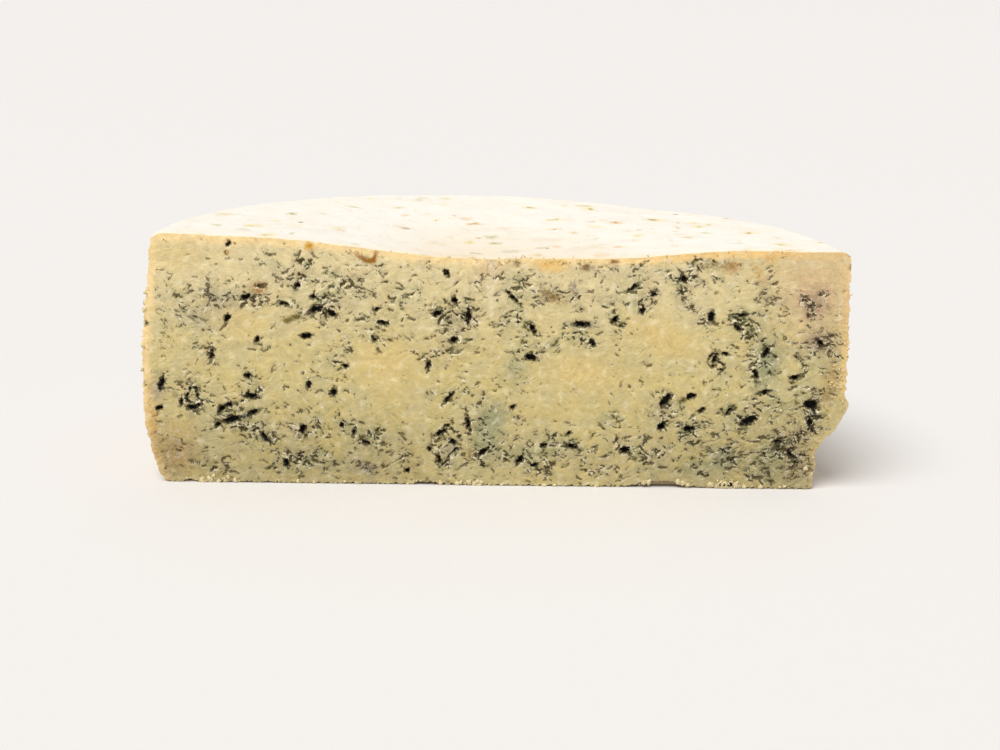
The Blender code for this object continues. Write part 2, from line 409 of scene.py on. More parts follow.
@dataclass(frozen=True)
class Zone:
    """A tilted oval of the cut face, in millimetres: its middle, half sizes and rise to the right."""

    x: float
    z: float
    half_length: float
    half_height: float
    tilt: float = 0.0

    def reach(self, x: np.ndarray, z: np.ndarray) -> np.ndarray:
        """Return how far out each place is, as a share of the oval's own reach."""
        turn = math.radians(self.tilt)
        along = (x - self.x) * math.cos(turn) + (z - self.z) * math.sin(turn)
        across = (z - self.z) * math.cos(turn) - (x - self.x) * math.sin(turn)
        return np.hypot(along / self.half_length, across / self.half_height)


# Where the mould has spread: x, z, half length, half height, rise in degrees, strength
VEINED = (
    (-90, 57, 9, 5, 0, .5), (-78, 56.5, 7, 3.5, 0, .6), (-71, 58, 5, 3, 0, .65),
    (-66, 68, 5, 3, -30, .6), (-57, 66, 4, 4.5, 0, 1), (-61, 54, 6, 4, 0, .4),
    (-88, 50, 8, 4, 0, .5), (-68, 45, 6, 2.5, 0, .45), (-86, 40.5, 6, 4, 0, .6),
    (-99, 31, 3, 5, 0, .6), (-90, 28, 5, 6, 0, .7), (-78, 21.5, 7, 4.5, 0, 1),
    (-79, 18.5, 5, 2.5, 0, 1), (-72, 19.5, 4, 2, 0, .8), (-84, 6, 5, 3, 0, .6),
    (-73, 29, 3.5, 5, 0, .9), (-70, 14.5, 7, 3, 0, .6), (-60, 7, 7, 4.5, 0, .75),
    (-57, 17, 4, 3, 0, .9), (-92, 9, 8, 5, 0, .4), (-62, 23, 6, 3, 0, .45),
    (-50, 54.5, 6.5, 4.5, -15, .9), (-43, 63, 8, 5, 0, .5), (-35, 50.5, 5, 5, 0, .5),
    (-33, 45.5, 7, 2.5, 0, .6), (-28, 58, 5, 4, -30, .5), (-45, 40, 4, 5, 0, .6),
    (-55, 31, 3, 3, 0, .5), (-48, 28.5, 3, 3, 0, .5), (-49, 20, 7, 4, 0, .5),
    (-38, 16.5, 7, 4, 0, .75), (-53, 8, 6, 4, 0, .6), (-38, 5, 5, 2.5, 0, .6),
    (-25, 7, 4, 3, 0, .5), (-11, 50.5, 7, 8, 0, 1), (-17, 41, 7, 4, 0, .5),
    (-14, 29, 7, 4, 20, .5), (-14, 12, 4, 5, 0, .4), (-13, 6, 3, 2, 0, .9),
    (-4, 18, 4, 10, 0, .7), (-1, 10, 4, 4, 0, .9), (7, 61, 6, 5, -35, .45),
    (18, 60, 7, 3, 0, .5), (23.5, 59.5, 2, 4, 0, .7), (6, 51, 7, 4, 0, .8),
    (3.5, 66, 4, 2, 0, .6), (11, 43, 5, 4, 0, .9), (6, 37, 5, 5, 0, .5),
    (25.5, 46.5, 5, 5, 0, .95), (17, 45, 4, 3, 0, .45), (33, 58, 4, 2, 0, .45),
    (42, 60, 6, 5, 0, .8), (36, 51, 3.5, 4, 0, .8), (45.5, 50, 3, 2, 0, .9),
    (46, 67, 10, 3, 0, .6), (39, 39.5, 4, 2, 0, .45), (19, 36, 4, 3, -40, .5),
    (20, 28, 4, 3, 0, .4), (36, 32, 4, 3, 0, .4), (23, 22, 4, 3, 0, .8),
    (19, 12, 9, 3, 0, .7), (12, 6.5, 8, 3, 0, .7), (35, 22.5, 5, 3, 0, .5),
    (31, 7, 5, 3, 0, .6), (42, 12.5, 5, 4, 0, .7), (5, 23, 3, 3, 0, .6),
    (56, 61.5, 4, 6, 0, .9), (60, 69.5, 7, 2.5, 0, .7), (62, 54, 4, 4, 0, .7),
    (64, 64.5, 5, 2.5, -25, .6), (75, 51, 6, 5, -50, 1), (79.5, 40, 4, 9, 0, .9),
    (67, 40.5, 3.5, 4, 0, .5), (95, 58.5, 2.6, 4.6, 15, 1), (95, 58.5, 2, 3.4, 15, 1),
    (97, 46, 4, 3, 0, .75), (97, 22, 3, 5, 0, 1), (85, 30.5, 3, 2.5, 0, .8),
    (91.5, 39, 2, 6, 0, .8), (96.5, 25, 4, 6, 0, 1),
    (85, 27, 5, 4, 0, .6), (75, 24, 6, 4, 0, .8), (52, 26, 4, 6, 0, .9),
    (51, 19, 4, 3, 0, .9), (60, 19, 4, 4, 0, .9), (62, 7, 6, 3, 0, .8),
    (72, 9.5, 4.5, 3.5, 0, .95), (88, 13, 7, 5, 0, .9), (93, 13.5, 3, 5, 0, .9),
    (88, 6, 12, 4, 0, .6), (48, 10, 6, 4, -30, .6), (82, 60, 7, 5, 0, .5),
    (5, 11, 85, 9, 0, .3), (-30, 61, 66, 7, 0, .25), (84, 34, 20, 30, 0, .25),
    (84, 11, 18, 12, 0, .35), (101, 38, 3, 9, 0, .6),
)
# Where hardly any has: x, z, half length, half height, rise, how much it keeps away
CLEAR = (
    (-32, 34, 9, 8, 0, .85), (24, 37, 15, 6, 0, .75), (57, 46, 14, 4, -20, .9),
    (24, 26, 8, 8, 0, .8), (-93, 70, 9, 5, 0, .9), (94, 68, 10, 5, 0, .9),
    (-74, 50, 7, 3, 0, .7), (-27, 28, 6, 8, 0, .8), (87.5, 36.5, 2.4, 6, -10, .8),
    (-21, 12, 2.5, 5, 0, .7), (47.5, 17.5, 2, 3, 0, .7), (-55, 58.5, 3, 2, 0, .4),
    (89.6, 60, 1.6, 3, 0, .8), (70.5, 55, 1.5, 3, -40, .6),
)
# Stains: x, z, half length, half height, rise, strength, colour
STAINS = (
    (-54.8, 73, 1.7, 1.3, 0, .8, Stain.AMBER), (-39.8, 70.3, 2.3, .9, -35, .75, Stain.RUST),
    (-35.6, 70.6, 2.1, .8, 70, .75, Stain.RUST), (-37.3, 69, 2.2, .8, 0, .75, Stain.RUST),
    (-69.7, 60.6, 2.2, 1.9, 0, .9, Stain.RUST), (-58.9, 52, 2.3, 1.2, 20, .8, Stain.OLIVE),
    (-61.6, 50.6, 1.3, .9, 0, .8, Stain.OLIVE),
    (16, 59.3, 4.5, 2.2, -20, .7, Stain.BROWN), (16, 68.5, 5, 2.2, 0, .8, Stain.ORANGE),
    (26, 68, 1.8, 1.2, 0, .8, Stain.BROWN), (34.3, 70, 1.2, .6, 0, .9, Stain.RUST),
    (5.8, 68.8, 1.2, 1.2, 0, .8, Stain.BROWN), (69.2, 69, 3.4, 2.2, 15, .6, Stain.RUST),
    (80.5, 71.6, 1.5, 1.5, 0, .6, Stain.AMBER), (77, 67, 1.8, 3.4, 20, .4, Stain.AMBER),
    (-32, 38, 12, 10, 0, .7, Stain.GOLD), (-74, 50, 9, 6, 0, .6, Stain.GOLD),
    (27, 36, 14, 7, 0, .7, Stain.GOLD), (50, 47, 14, 5, -20, .8, Stain.GOLD),
    (-93, 70, 12, 5, 0, .5, Stain.GOLD), (-3, 17, 5, 10, 0, .55, Stain.BLUE),
    (2, 22, 4, 6, 0, .45, Stain.BLUE), (71, 9.5, 5, 4, 0, .6, Stain.BLUE),
    (35, 22, 6, 4, 0, .35, Stain.BLUE), (82, 40, 5, 9, 0, .7, Stain.BLUE),
    (8, 10.5, 5, 3, 0, .5, Stain.BLUE), (-38, 5, 4, 2.5, 0, .45, Stain.PURPLE),
    (94.5, 58.5, 4, 4, 0, .45, Stain.PURPLE), (97, 46.5, 5, 4, 0, .45, Stain.PURPLE),
    (26, 51, 5, 2, 0, .45, Stain.PURPLE), (22.5, 62, 1.6, 2.5, 0, .45, Stain.PURPLE),
    (95, 62, 14, 14, 0, .7, Stain.PEACH), (-2, 67, 5, 5, 0, .5, Stain.PEACH),
    (-97, 10, 10, 10, 0, .5, Stain.TAN), (-1.5, 63, 1.1, 9, 0, 1, Stain.CHALK),
    (-7, 9.5, .7, 2.4, 0, .5, Stain.RUST), (-103.2, 49.5, .9, .7, 0, 1, Stain.SOOT),
    (104.6, 69.6, .8, .8, 0, 1, Stain.SOOT), (57, 28, 1.6, 1, 0, .8, Stain.OLIVE),
    (-8, 59, .35, 6, 0, .5, Stain.BLUE), (6.5, 37, 4, 4, 0, .5, Stain.BLUE),
    (-13, 11, 2.6, 4, 0, .6, Stain.LILAC), (-88, 51, 8, 4, 0, .4, Stain.LILAC),
    (-101.2, 29, 2.4, 5, 0, .6, Stain.LILAC),
    (-80, 57, 8, 4, 0, .4, Stain.LILAC), (34, 66, 9, 5, 0, .3, Stain.LILAC),
    (101.5, 36, 2.6, 8, 0, .45, Stain.TAN), (97.2, 25, 1.6, 2.4, 0, .9, Stain.SOOT),
    (-75.6, 20.7, 5, .8, 22, .9, Stain.SOOT), (-102.6, 22, 1.2, 9, 4, .6, Stain.ORANGE),
    (101, 29.5, 2.2, 2.6, 0, .3, Stain.BROWN), (62.5, 69.8, 4, 1.6, 0, .5, Stain.OLIVE),
)
# Open pockets: x, z, length, width, rise in degrees. The part's source cuts the same ones.
POCKETS = (
    (-78.4, 73.6, 1.6, 1.3, 60), (-73.6, 57.6, 3.0, 1.6, 15), (-79.2, 51.2, 2.6, 1.6, 60),
    (-58.4, 61.3, 2.6, 1.4, 70), (-62.3, 55.8, 3.2, 1.2, -15), (-70.5, 44.7, 2.4, 1.4, 65),
    (-56.0, 46.2, 3.4, 1.7, 5), (-84.3, 40.0, 3.4, 1.3, 75), (-99.6, 31.0, 4.4, 1.6, 80),
    (-100.2, 23.1, 2.4, 1.3, 20), (-93.8, 25.4, 2.6, 1.1, 75), (-91.2, 23.6, 3.0, 1.8, 5),
    (-81.8, 23.2, 2.8, 1.8, 60), (-79.3, 24.6, 2.2, 1.4, 20), (-78.6, 19.9, 5.0, 1.8, 12),
    (-72.0, 22.3, 3.6, 1.3, 25), (-83.1, 18.1, 2.0, 1.6, 30), (-73.5, 33.7, 2.4, 1.7, 0),
    (-72.6, 27.4, 4.4, 1.7, -5), (-68.9, 14.6, 3.8, 1.3, -55), (-57.4, 17.3, 2.8, 1.8, 60),
    (-62.4, 6.4, 2.8, 1.5, -65), (-55.4, 31.2, 2.6, 1.3, 85),
    (-53.2, 54.0, 4.6, 1.6, 18), (-53.9, 57.8, 2.0, 1.1, 0), (-48.4, 53.1, 4.0, 1.4, -30),
    (-48.1, 28.8, 2.7, 1.9, 70), (-45.7, 18.7, 1.6, 1.3, -30), (-41.9, 16.5, 2.8, 1.0, 80),
    (-38.4, 13.0, 2.0, 1.4, -20), (-35.2, 54.4, 2.6, 1.0, 40), (-33.4, 50.4, 2.8, 1.3, -10),
    (-44.4, 37.1, 1.7, 1.4, 10), (-35.8, 45.3, 2.0, 1.1, -50), (-14.6, 65.6, 2.2, 1.4, -50),
    (-12.3, 57.6, 2.6, 1.3, -75), (-17.3, 53.6, 3.0, 1.9, 30), (-8.0, 53.0, 5.2, 1.5, 85),
    (-12.4, 45.6, 2.6, 1.6, 10), (-19.8, 37.7, 3.6, 1.3, 85), (-13.6, 27.7, 4.4, 1.0, 50),
    (-15.8, 16.7, 4.6, 1.3, 28), (-12.0, 13.7, 2.2, 1.6, -30), (-16.3, 8.2, 3.4, 1.1, -75),
    (-26.0, 4.5, 1.6, 1.2, 30), (-7.7, 19.6, 6.4, 1.1, -82), (-3.2, 10.6, 4.4, 1.5, 38),
    (4.9, 58.7, 4.8, 1.1, -45), (11.1, 49.3, 3.6, 1.3, -68), (10.5, 40.5, 3.6, 2.2, -12),
    (25.4, 51.0, 4.6, 1.8, -5), (28.8, 45.4, 2.8, 1.4, -60), (5.7, 25.0, 1.9, 1.4, 20),
    (8.1, 8.3, 3.0, 1.7, 55), (12.8, 6.7, 1.9, 1.3, 0), (23.0, 16.9, 1.6, 1.1, 30),
    (15.4, 13.0, 1.9, 1.3, 10), (23.8, 12.7, 4.2, 1.1, -10),
    (40.4, 62.4, 3.6, 1.1, 32), (46.4, 60.4, 2.2, 1.2, -10), (43.1, 55.6, 2.4, 1.7, 80),
    (35.2, 52.5, 2.4, 1.7, 40), (39.9, 11.9, 2.9, 2.0, 20), (51.6, 27.8, 4.6, 2.2, 52),
    (50.7, 19.6, 2.6, 2.2, 60), (55.0, 64.9, 3.2, 1.5, -10), (63.8, 53.9, 3.9, 1.7, 85),
    (73.4, 54.4, 2.6, 1.2, 20), (72.0, 50.6, 2.8, 1.1, -55), (81.2, 43.2, 3.2, 1.6, 55),
    (65.7, 40.6, 4.6, 1.4, 78), (68.7, 42.5, 2.4, 1.1, -15), (59.0, 18.9, 3.6, 1.9, 0),
    (62.6, 24.8, 2.2, 1.2, 30), (59.2, 29.2, 2.6, 2.0, 0), (71.4, 24.9, 3.2, 1.3, 55),
    (77.5, 21.7, 5.6, 2.4, 28), (78.4, 36.2, 3.0, 1.4, -75), (81.4, 30.7, 4.0, 1.1, 15),
    (90.6, 35.4, 2.4, 1.5, 20), (96.3, 27.0, 4.4, 2.8, -20), (96.4, 21.6, 3.4, 1.8, -60),
    (91.8, 11.4, 3.6, 1.2, -70), (86.6, 15.3, 2.6, 1.1, 0), (97.5, 46.0, 3.4, 1.3, -55),
)
# Gaps that curl round a curd: x, z, half length, half height, where the opening is in degrees
CURLS = (
    (-14.0, 12.5, 3.4, 4.6, 0), (66.8, 40.8, 2.0, 2.8, 200), (-90.6, 27.2, 2.3, 2.2, 75),
)
# Where crumbs cling to the cut and its edges: x, z, half length, half height, rise, for each square mm
CRUMBS = (
    (-85, .4, 5, .9, 0, 3), (-4, .4, 4, .8, 0, 3), (46.3, .6, 1.1, 1, 0, 8),
    (58.5, .4, 2.5, .7, 0, 3), (71.5, .9, 2.9, 1, 0, 13), (-45, .2, 24, .4, 0, .4),
    (15, .2, 20, .4, 0, .5), (84, .2, 12, .5, 0, .5), (-104.4, 53, .8, 8, 0, 1.6),
    (-104.9, 30, .6, 12, 0, .3), (104.2, 34, .8, 7, 0, .2), (98, 12, 1.5, 9, 0, .12),
    (12, 70, 14, 1, 0, .2), (-40, 71, 40, 1, 0, .06), (60, 73, 30, 1, 0, .06),
)
# Where short frays stand out, in the same order
FRAYS = (
    (104.5, 50, 1.2, 14, 0, .5), (103, 32, 1.5, 8, 0, 1.2), (-104, 52, 1.5, 9, 0, .8),
    (60, 73.5, 32, 1.6, 0, .12), (12, 71, 20, 1, 0, .12), (98, 10, 2.5, 8, 0, .7),
)
# Chips out of the bottom edge of the cut: x, length, height
CHIPS = ((-91.9, 3.4, 1.3), (51.5, 21.0, 1.9), (-20.0, 9.0, 0.8))


@dataclass(frozen=True)
class CutFace:
    """Maps of the cut face. Places are millimetres from the wheel's axis and base."""

    vein_base: float = 0.3
    zone_share: float = 0.8
    zone_core: float = 0.2
    zone_fade: float = 1.6
    far: float = 5.0
    curl_steps: int = 7
    curl_from: float = 50.0
    curl_sweep: float = 260.0
    stroke_reach: tuple[float, float] = (0.86, 0.24)
    stroke_width: tuple[float, float] = (0.45, 0.75)
    stroke_half_length: float = 1.3
    sway: float = 1.5
    crumbs_by_veins: float = 0.004
    edge_reach: float = 1.1

    def swayed(self, x: np.ndarray, z: np.ndarray) -> tuple[np.ndarray, np.ndarray]:
        """Return places moved a little by slow waves, so that no oval keeps its plain outline."""
        sway = self.sway
        along = np.sin(0.45 * z + 0.21 * x) + 0.6 * np.sin(1.1 * z - 0.3 * x + 2.0)
        up = np.sin(0.38 * x + 0.17 * z + 1.0) + 0.6 * np.sin(0.93 * x - 0.4 * z)
        return x + sway * along, z + 0.8 * sway * up

    def veining(self, x: np.ndarray, z: np.ndarray) -> np.ndarray:
        """Return how strongly the mould has spread at each place, from 0 to 1."""
        x, z = self.swayed(x, z)
        left = np.full_like(x, 1.0 - self.vein_base)
        for *oval, strength in VEINED:
            left *= 1.0 - self.zone_share * strength * self.faded(Zone(*oval), x, z)
        veining = 1.0 - left
        for *oval, strength in CLEAR:
            veining *= 1.0 - strength * self.faded(Zone(*oval), x, z)
        return veining

    def faded(self, zone: Zone, x: np.ndarray, z: np.ndarray) -> np.ndarray:
        """Return how much of a zone's strength each place gets, from 0 to 1."""
        return 1.0 - smooth_step(self.zone_core, self.zone_fade, zone.reach(x, z))

    def pocket(self, x: np.ndarray, z: np.ndarray) -> np.ndarray:
        """Return how far inside the nearest pocket each place is, less than 0 outside."""
        inside = np.full_like(x, -self.far)
        for middle_x, middle_z, length, width, tilt in POCKETS:
            oval = Zone(middle_x, middle_z, 0.5 * length, 0.5 * width, tilt)
            inside = np.maximum(inside, (1.0 - oval.reach(x, z)) * 0.5 * width)
        for stroke, width in self.curl_strokes():
            inside = np.maximum(inside, (1.0 - stroke.reach(*self.swayed(x, z))) * 0.5 * width)
        return inside

    def curl_strokes(self) -> list[tuple[Zone, float]]:
        """Return the short strokes, with their widths, that the curls are made of.

        Their reach and width change from one to the next in a fixed pattern, so that none looks drawn.
        """
        strokes = []
        for x, z, half_length, half_height, opening in CURLS:
            for step in range(self.curl_steps):
                turn = math.radians(opening + self.curl_from + step * self.curl_sweep / (self.curl_steps - 1))
                across, up = half_length * math.cos(turn), half_height * math.sin(turn)
                reach = self.stroke_reach[0] + self.stroke_reach[1] * ((step * 5) % 7) / 7.0
                width = self.stroke_width[0] + self.stroke_width[1] * ((step * 3) % 5) / 5.0
                tilt = math.degrees(math.atan2(half_height * math.cos(turn), -half_length * math.sin(turn)))
                stroke = Zone(x + across * reach, z + up * reach, self.stroke_half_length, 0.5 * width, tilt)
                strokes.append((stroke, width))
        return strokes

    @staticmethod
    def stains(x: np.ndarray, z: np.ndarray) -> np.ndarray:
        """Return the colour of the stain at each place, with its strength as a fourth part."""
        total = np.zeros((len(x), 4))
        for *oval, strength, stain in STAINS:
            share = strength * np.exp(-Zone(*oval).reach(x, z) ** 2)
            colour = np.array(tone(*stain.value))
            total[:, :3] += share[:, None] * colour[:3]
            total[:, 3] += share
        weight = np.maximum(total[:, 3:], TINY)
        return np.hstack((total[:, :3] / weight, np.minimum(weight, 1.0)))

    def rind_gap(self, sizes: WheelSizes, x: np.ndarray, z: np.ndarray) -> np.ndarray:
        """Return the distance from each place to the rind, over and to both sides."""
        over = sizes.top_height(x * MM, 0.0 * x) / MM - z
        right = sizes.side_radius(1.0, z * MM) / MM - x
        left = sizes.side_radius(-1.0, z * MM) / MM + x
        return np.minimum(np.minimum(over, right), np.minimum(left, self.far * 4.0))

    def scatter(self, table: tuple[tuple[float, ...], ...], x: np.ndarray, y: np.ndarray,
                z: np.ndarray) -> np.ndarray:
        """Return how many scattered things each square millimetre holds, at and near the cut."""
        number = np.zeros_like(x)
        for *oval, amount in table:
            number += amount * np.exp(-Zone(*oval).reach(x, z) ** 2)
        return number * np.exp(-y / self.edge_reach)

    @staticmethod
    def lift(x: Wire) -> Wire:
        """Return how high the bottom edge is chipped away, in millimetres, in a tree."""
        lift = 0.0
        for middle, length, height in CHIPS:
            along = (x - middle) / (0.5 * length)
            lift = lift + height * clamped(1.0 - along * along)
        return lift


@dataclass(frozen=True)
class FleckLayer:
    """One scatter of flecks, at most one in each cell of a flat pattern. Sizes are millimetres."""

    cell: float
    length: float
    width: float
    need: float
    shift: float


@dataclass(frozen=True)
class Flecks:
    """The small dark gaps between curds, as one rule that shapes the face and colours it.

    Flecks lie at most one in a cell, curls follow a level line of noise, and wisps are the darkest of
    the grain. Sizes are millimetres, and a field that ends in _size is that of a noise's lumps.
    """

    layers: tuple[FleckLayer, ...] = (
        FleckLayer(3.2, 4.4, 0.95, 1.5, 0.0),
        FleckLayer(2.1, 3.0, 0.6, 1.4, 31.7),
        FleckLayer(1.6, 1.9, 0.54, 1.5, 67.3),
    )
    wander: float = 2.4
    wander_size: float = 4.0
    shiver: float = 1.8
    shiver_size: float = 1.5
    unborn: float = 1.4
    birth: float = 0.4
    ragged: float = 2.3
    ragged_size: float = 1.0
    drift: float = 2.3
    drift_size: float = 3.2
    lean: float = 2.6
    lean_size: float = 13.0
    scatter: float = 2.2
    looseness: float = 0.9
    slimmest: float = 0.4
    fuller: float = 0.75
    curl_size: float = 3.4
    curl_width: float = 0.3
    curl_need: float = 0.95
    curl_slope: float = 1.5
    break_size: float = 2.0
    break_reach: float = 3.4
    fray: float = 1.0
    fray_size: float = 0.7
    sway: float = 7.0
    sway_size: float = 14.0
    quiver: float = 1.3
    quiver_size: float = 1.4
    wisp_turns: tuple[float, float] = (-0.7, 0.45)
    wisp_apart: float = 9.0
    wisp_patch: float = 8.0
    wisp_length: float = 2.6
    wisp_width: float = 0.85
    wisp_need: float = 0.245
    wisp_gain: float = 0.165
    wisp_scale: float = 2.4
    wisp_fall: float = 3.0
    strength_swing: float = 2.2
    strength_size: float = 2.6
    bold_range: tuple[float, float] = (0.3, 1.1)
    thinning: float = 0.2
    smear_squash: float = 0.24
    smear_size: float = 2.2
    grain_size: float = 0.9

    def inside(self, bench: Bench, x: Wire, z: Wire, veining: Wire) -> Wire:
        """Return how far inside a gap each place is, less than 0 outside.

        Args:
            bench: The tree, of a material or a modifier.
            x: Millimetres along the cut.
            z: Millimetres above the base.
            veining: How strongly the mould has spread there.

        Returns:
            Millimetres inside the gap.
        """
        flat = bench.join(x, z, 0.0)
        bent = flat + bench.noise_vector(flat, self.wander_size) * self.wander
        bent = bent + bench.noise_vector(flat, self.shiver_size, detail=3.0) * self.shiver
        spread = veining + bench.wave(flat, self.drift_size, self.drift)
        lean = bench.wave(flat, self.lean_size, self.lean, detail=1.0, roughness=0.5)
        wisps = (self.grain(bench, flat) - 0.5 - self.wisp_need + spread * self.wisp_gain) * self.wisp_scale
        inside = most(self.curl(bench, bent, spread), least(wisps, wisps * self.wisp_fall))
        for layer in self.layers:
            inside = most(inside, self.layer(bench, bent, spread, lean, layer))
        thin = (1.0 - self.strength(bench, flat, veining)) * self.thinning
        return inside - thin + bench.wave(flat, self.fray_size, self.fray, detail=2.0)

    def strength(self, bench: Bench, flat: Arrow, veining: Wire) -> Wire:
        """Return how bold the gaps are, from 0 to 1: faint ones are thin."""
        swing = bench.wave(flat, self.strength_size, self.strength_swing)
        return smooth_step(*self.bold_range, veining + swing)

    def grain(self, bench: Bench, flat: Arrow) -> Wire:
        """Return the paste's grain, from 0 to 1: streaks that lie two ways, and darken into wisps."""
        swaying = flat + bench.noise_vector(flat, self.sway_size) * self.sway
        x, z, _ = (swaying + bench.noise_vector(flat, self.quiver_size, detail=3.0) * self.quiver).parts()
        ways = []
        for turn in self.wisp_turns:
            along = (x * math.cos(turn) + z * math.sin(turn)) * (self.wisp_width / self.wisp_length)
            aside = z * math.cos(turn) - x * math.sin(turn)
            streaks = bench.join(along, aside, self.wisp_apart * turn)
            ways.append(bench.noise(streaks, self.wisp_width, detail=3.0, roughness=0.6))
        return mix(*ways, smooth_step(0.44, 0.56, bench.noise(flat, self.wisp_patch, detail=1.0)))

    def smear(self, bench: Bench, x: Wire, z: Wire) -> Wire:
        """Return the smears that the knife left along the cut, from 0 to 1."""
        return bench.noise(bench.join(x * self.smear_squash, 0.0, z), self.smear_size)

    def pocket(self, bench: Bench, x: Wire, z: Wire) -> Wire:
        """Return how far inside an open pocket each place is, with a ragged edge."""
        return bench.attribute("pocket") + bench.wave(bench.join(x, z, 0.0), self.ragged_size, self.ragged)

    def layer(self, bench: Bench, bent: Arrow, spread: Wire, lean: Wire, layer: FleckLayer) -> Wire:
        """Return how far inside this layer's flecks each place is.

        Args:
            bench: The tree.
            bent: The warped flat place.
            spread: How strongly the mould has spread there.
            lean: The angle at which flecks lie there.
            layer: The layer's sizes.

        Returns:
            Millimetres inside a fleck.
        """
        place = bent + Vector((layer.shift, layer.shift, 0.0))
        _, draws, middle = bench.cells(place, layer.cell, "2D", self.looseness)
        turn, need, size = draws.parts()
        across, up, _ = (place - middle).parts()
        angle = lean + (turn - 0.5) * self.scatter
        cosine, sine = bench.math("COSINE", angle), bench.math("SINE", angle)
        along = (across * cosine + up * sine) * (layer.width / layer.length)
        aside = up * cosine - across * sine
        away = bench.math("SQRT", along * along + aside * aside)
        grown = smooth_step(0.0, self.birth, spread - need * layer.need)
        half_width = (size * size * self.fuller + self.slimmest) * (0.5 * layer.width)
        return grown * (half_width + self.unborn) - self.unborn - away

    def curl(self, bench: Bench, bent: Arrow, spread: Wire) -> Wire:
        """Return how far inside the curling cracks each place is. They follow a level line of noise."""
        level = bench.noise(bent, self.curl_size, detail=1.0) - 0.5
        away = bench.math("ABSOLUTE", level) * (self.curl_slope * self.curl_size)
        broken = bench.wave(bent, self.break_size, self.break_reach, detail=2.0)
        grown = smooth_step(0.0, self.birth, spread + broken - self.curl_need)
        return grown * (self.curl_width + self.unborn) - self.unborn - away


# ---------------------------------------------------------------- finishes


def new_material(name: str) -> tuple[bpy.types.Material, Bench, bpy.types.Node]:
    """Return a new material, a bench on its tree and its Principled shader."""
    material = bpy.data.materials.new(name)
    material.use_nodes = True
    tree = material.node_tree
    tree.nodes.clear()
    bench = Bench(tree)
    shader = bench.node("ShaderNodeBsdfPrincipled")
    bench.node("ShaderNodeOutputMaterial", inputs={"Surface": shader.outputs[0]})
    return material, bench, shader


def object_place_mm(bench: Bench) -> Arrow:
    """Return the Object coordinates in millimetres."""
    return Arrow(bench, bench.node("ShaderNodeTexCoord").outputs["Object"]) * (1.0 / MM)


def bumped(bench: Bench, height_mm: Wire) -> bpy.types.NodeSocket:
    """Return a normal that stands up by a height in millimetres."""
    made = bench.node("ShaderNodeBump", inputs={"Strength": 1.0, "Distance": MM, "Height": height_mm})
    return made.outputs[0]


@dataclass(frozen=True)
class CutPlace:
    """What the paste's rules know of the place that is being coloured, as wires of one tree."""

    bench: Bench
    x: Wire
    z: Wire
    flat: Arrow
    veining: Wire
    pocket: Wire
    gap: Wire
    smear: Wire
    streaks: Wire
    bold: Wire
    mouldy: Wire


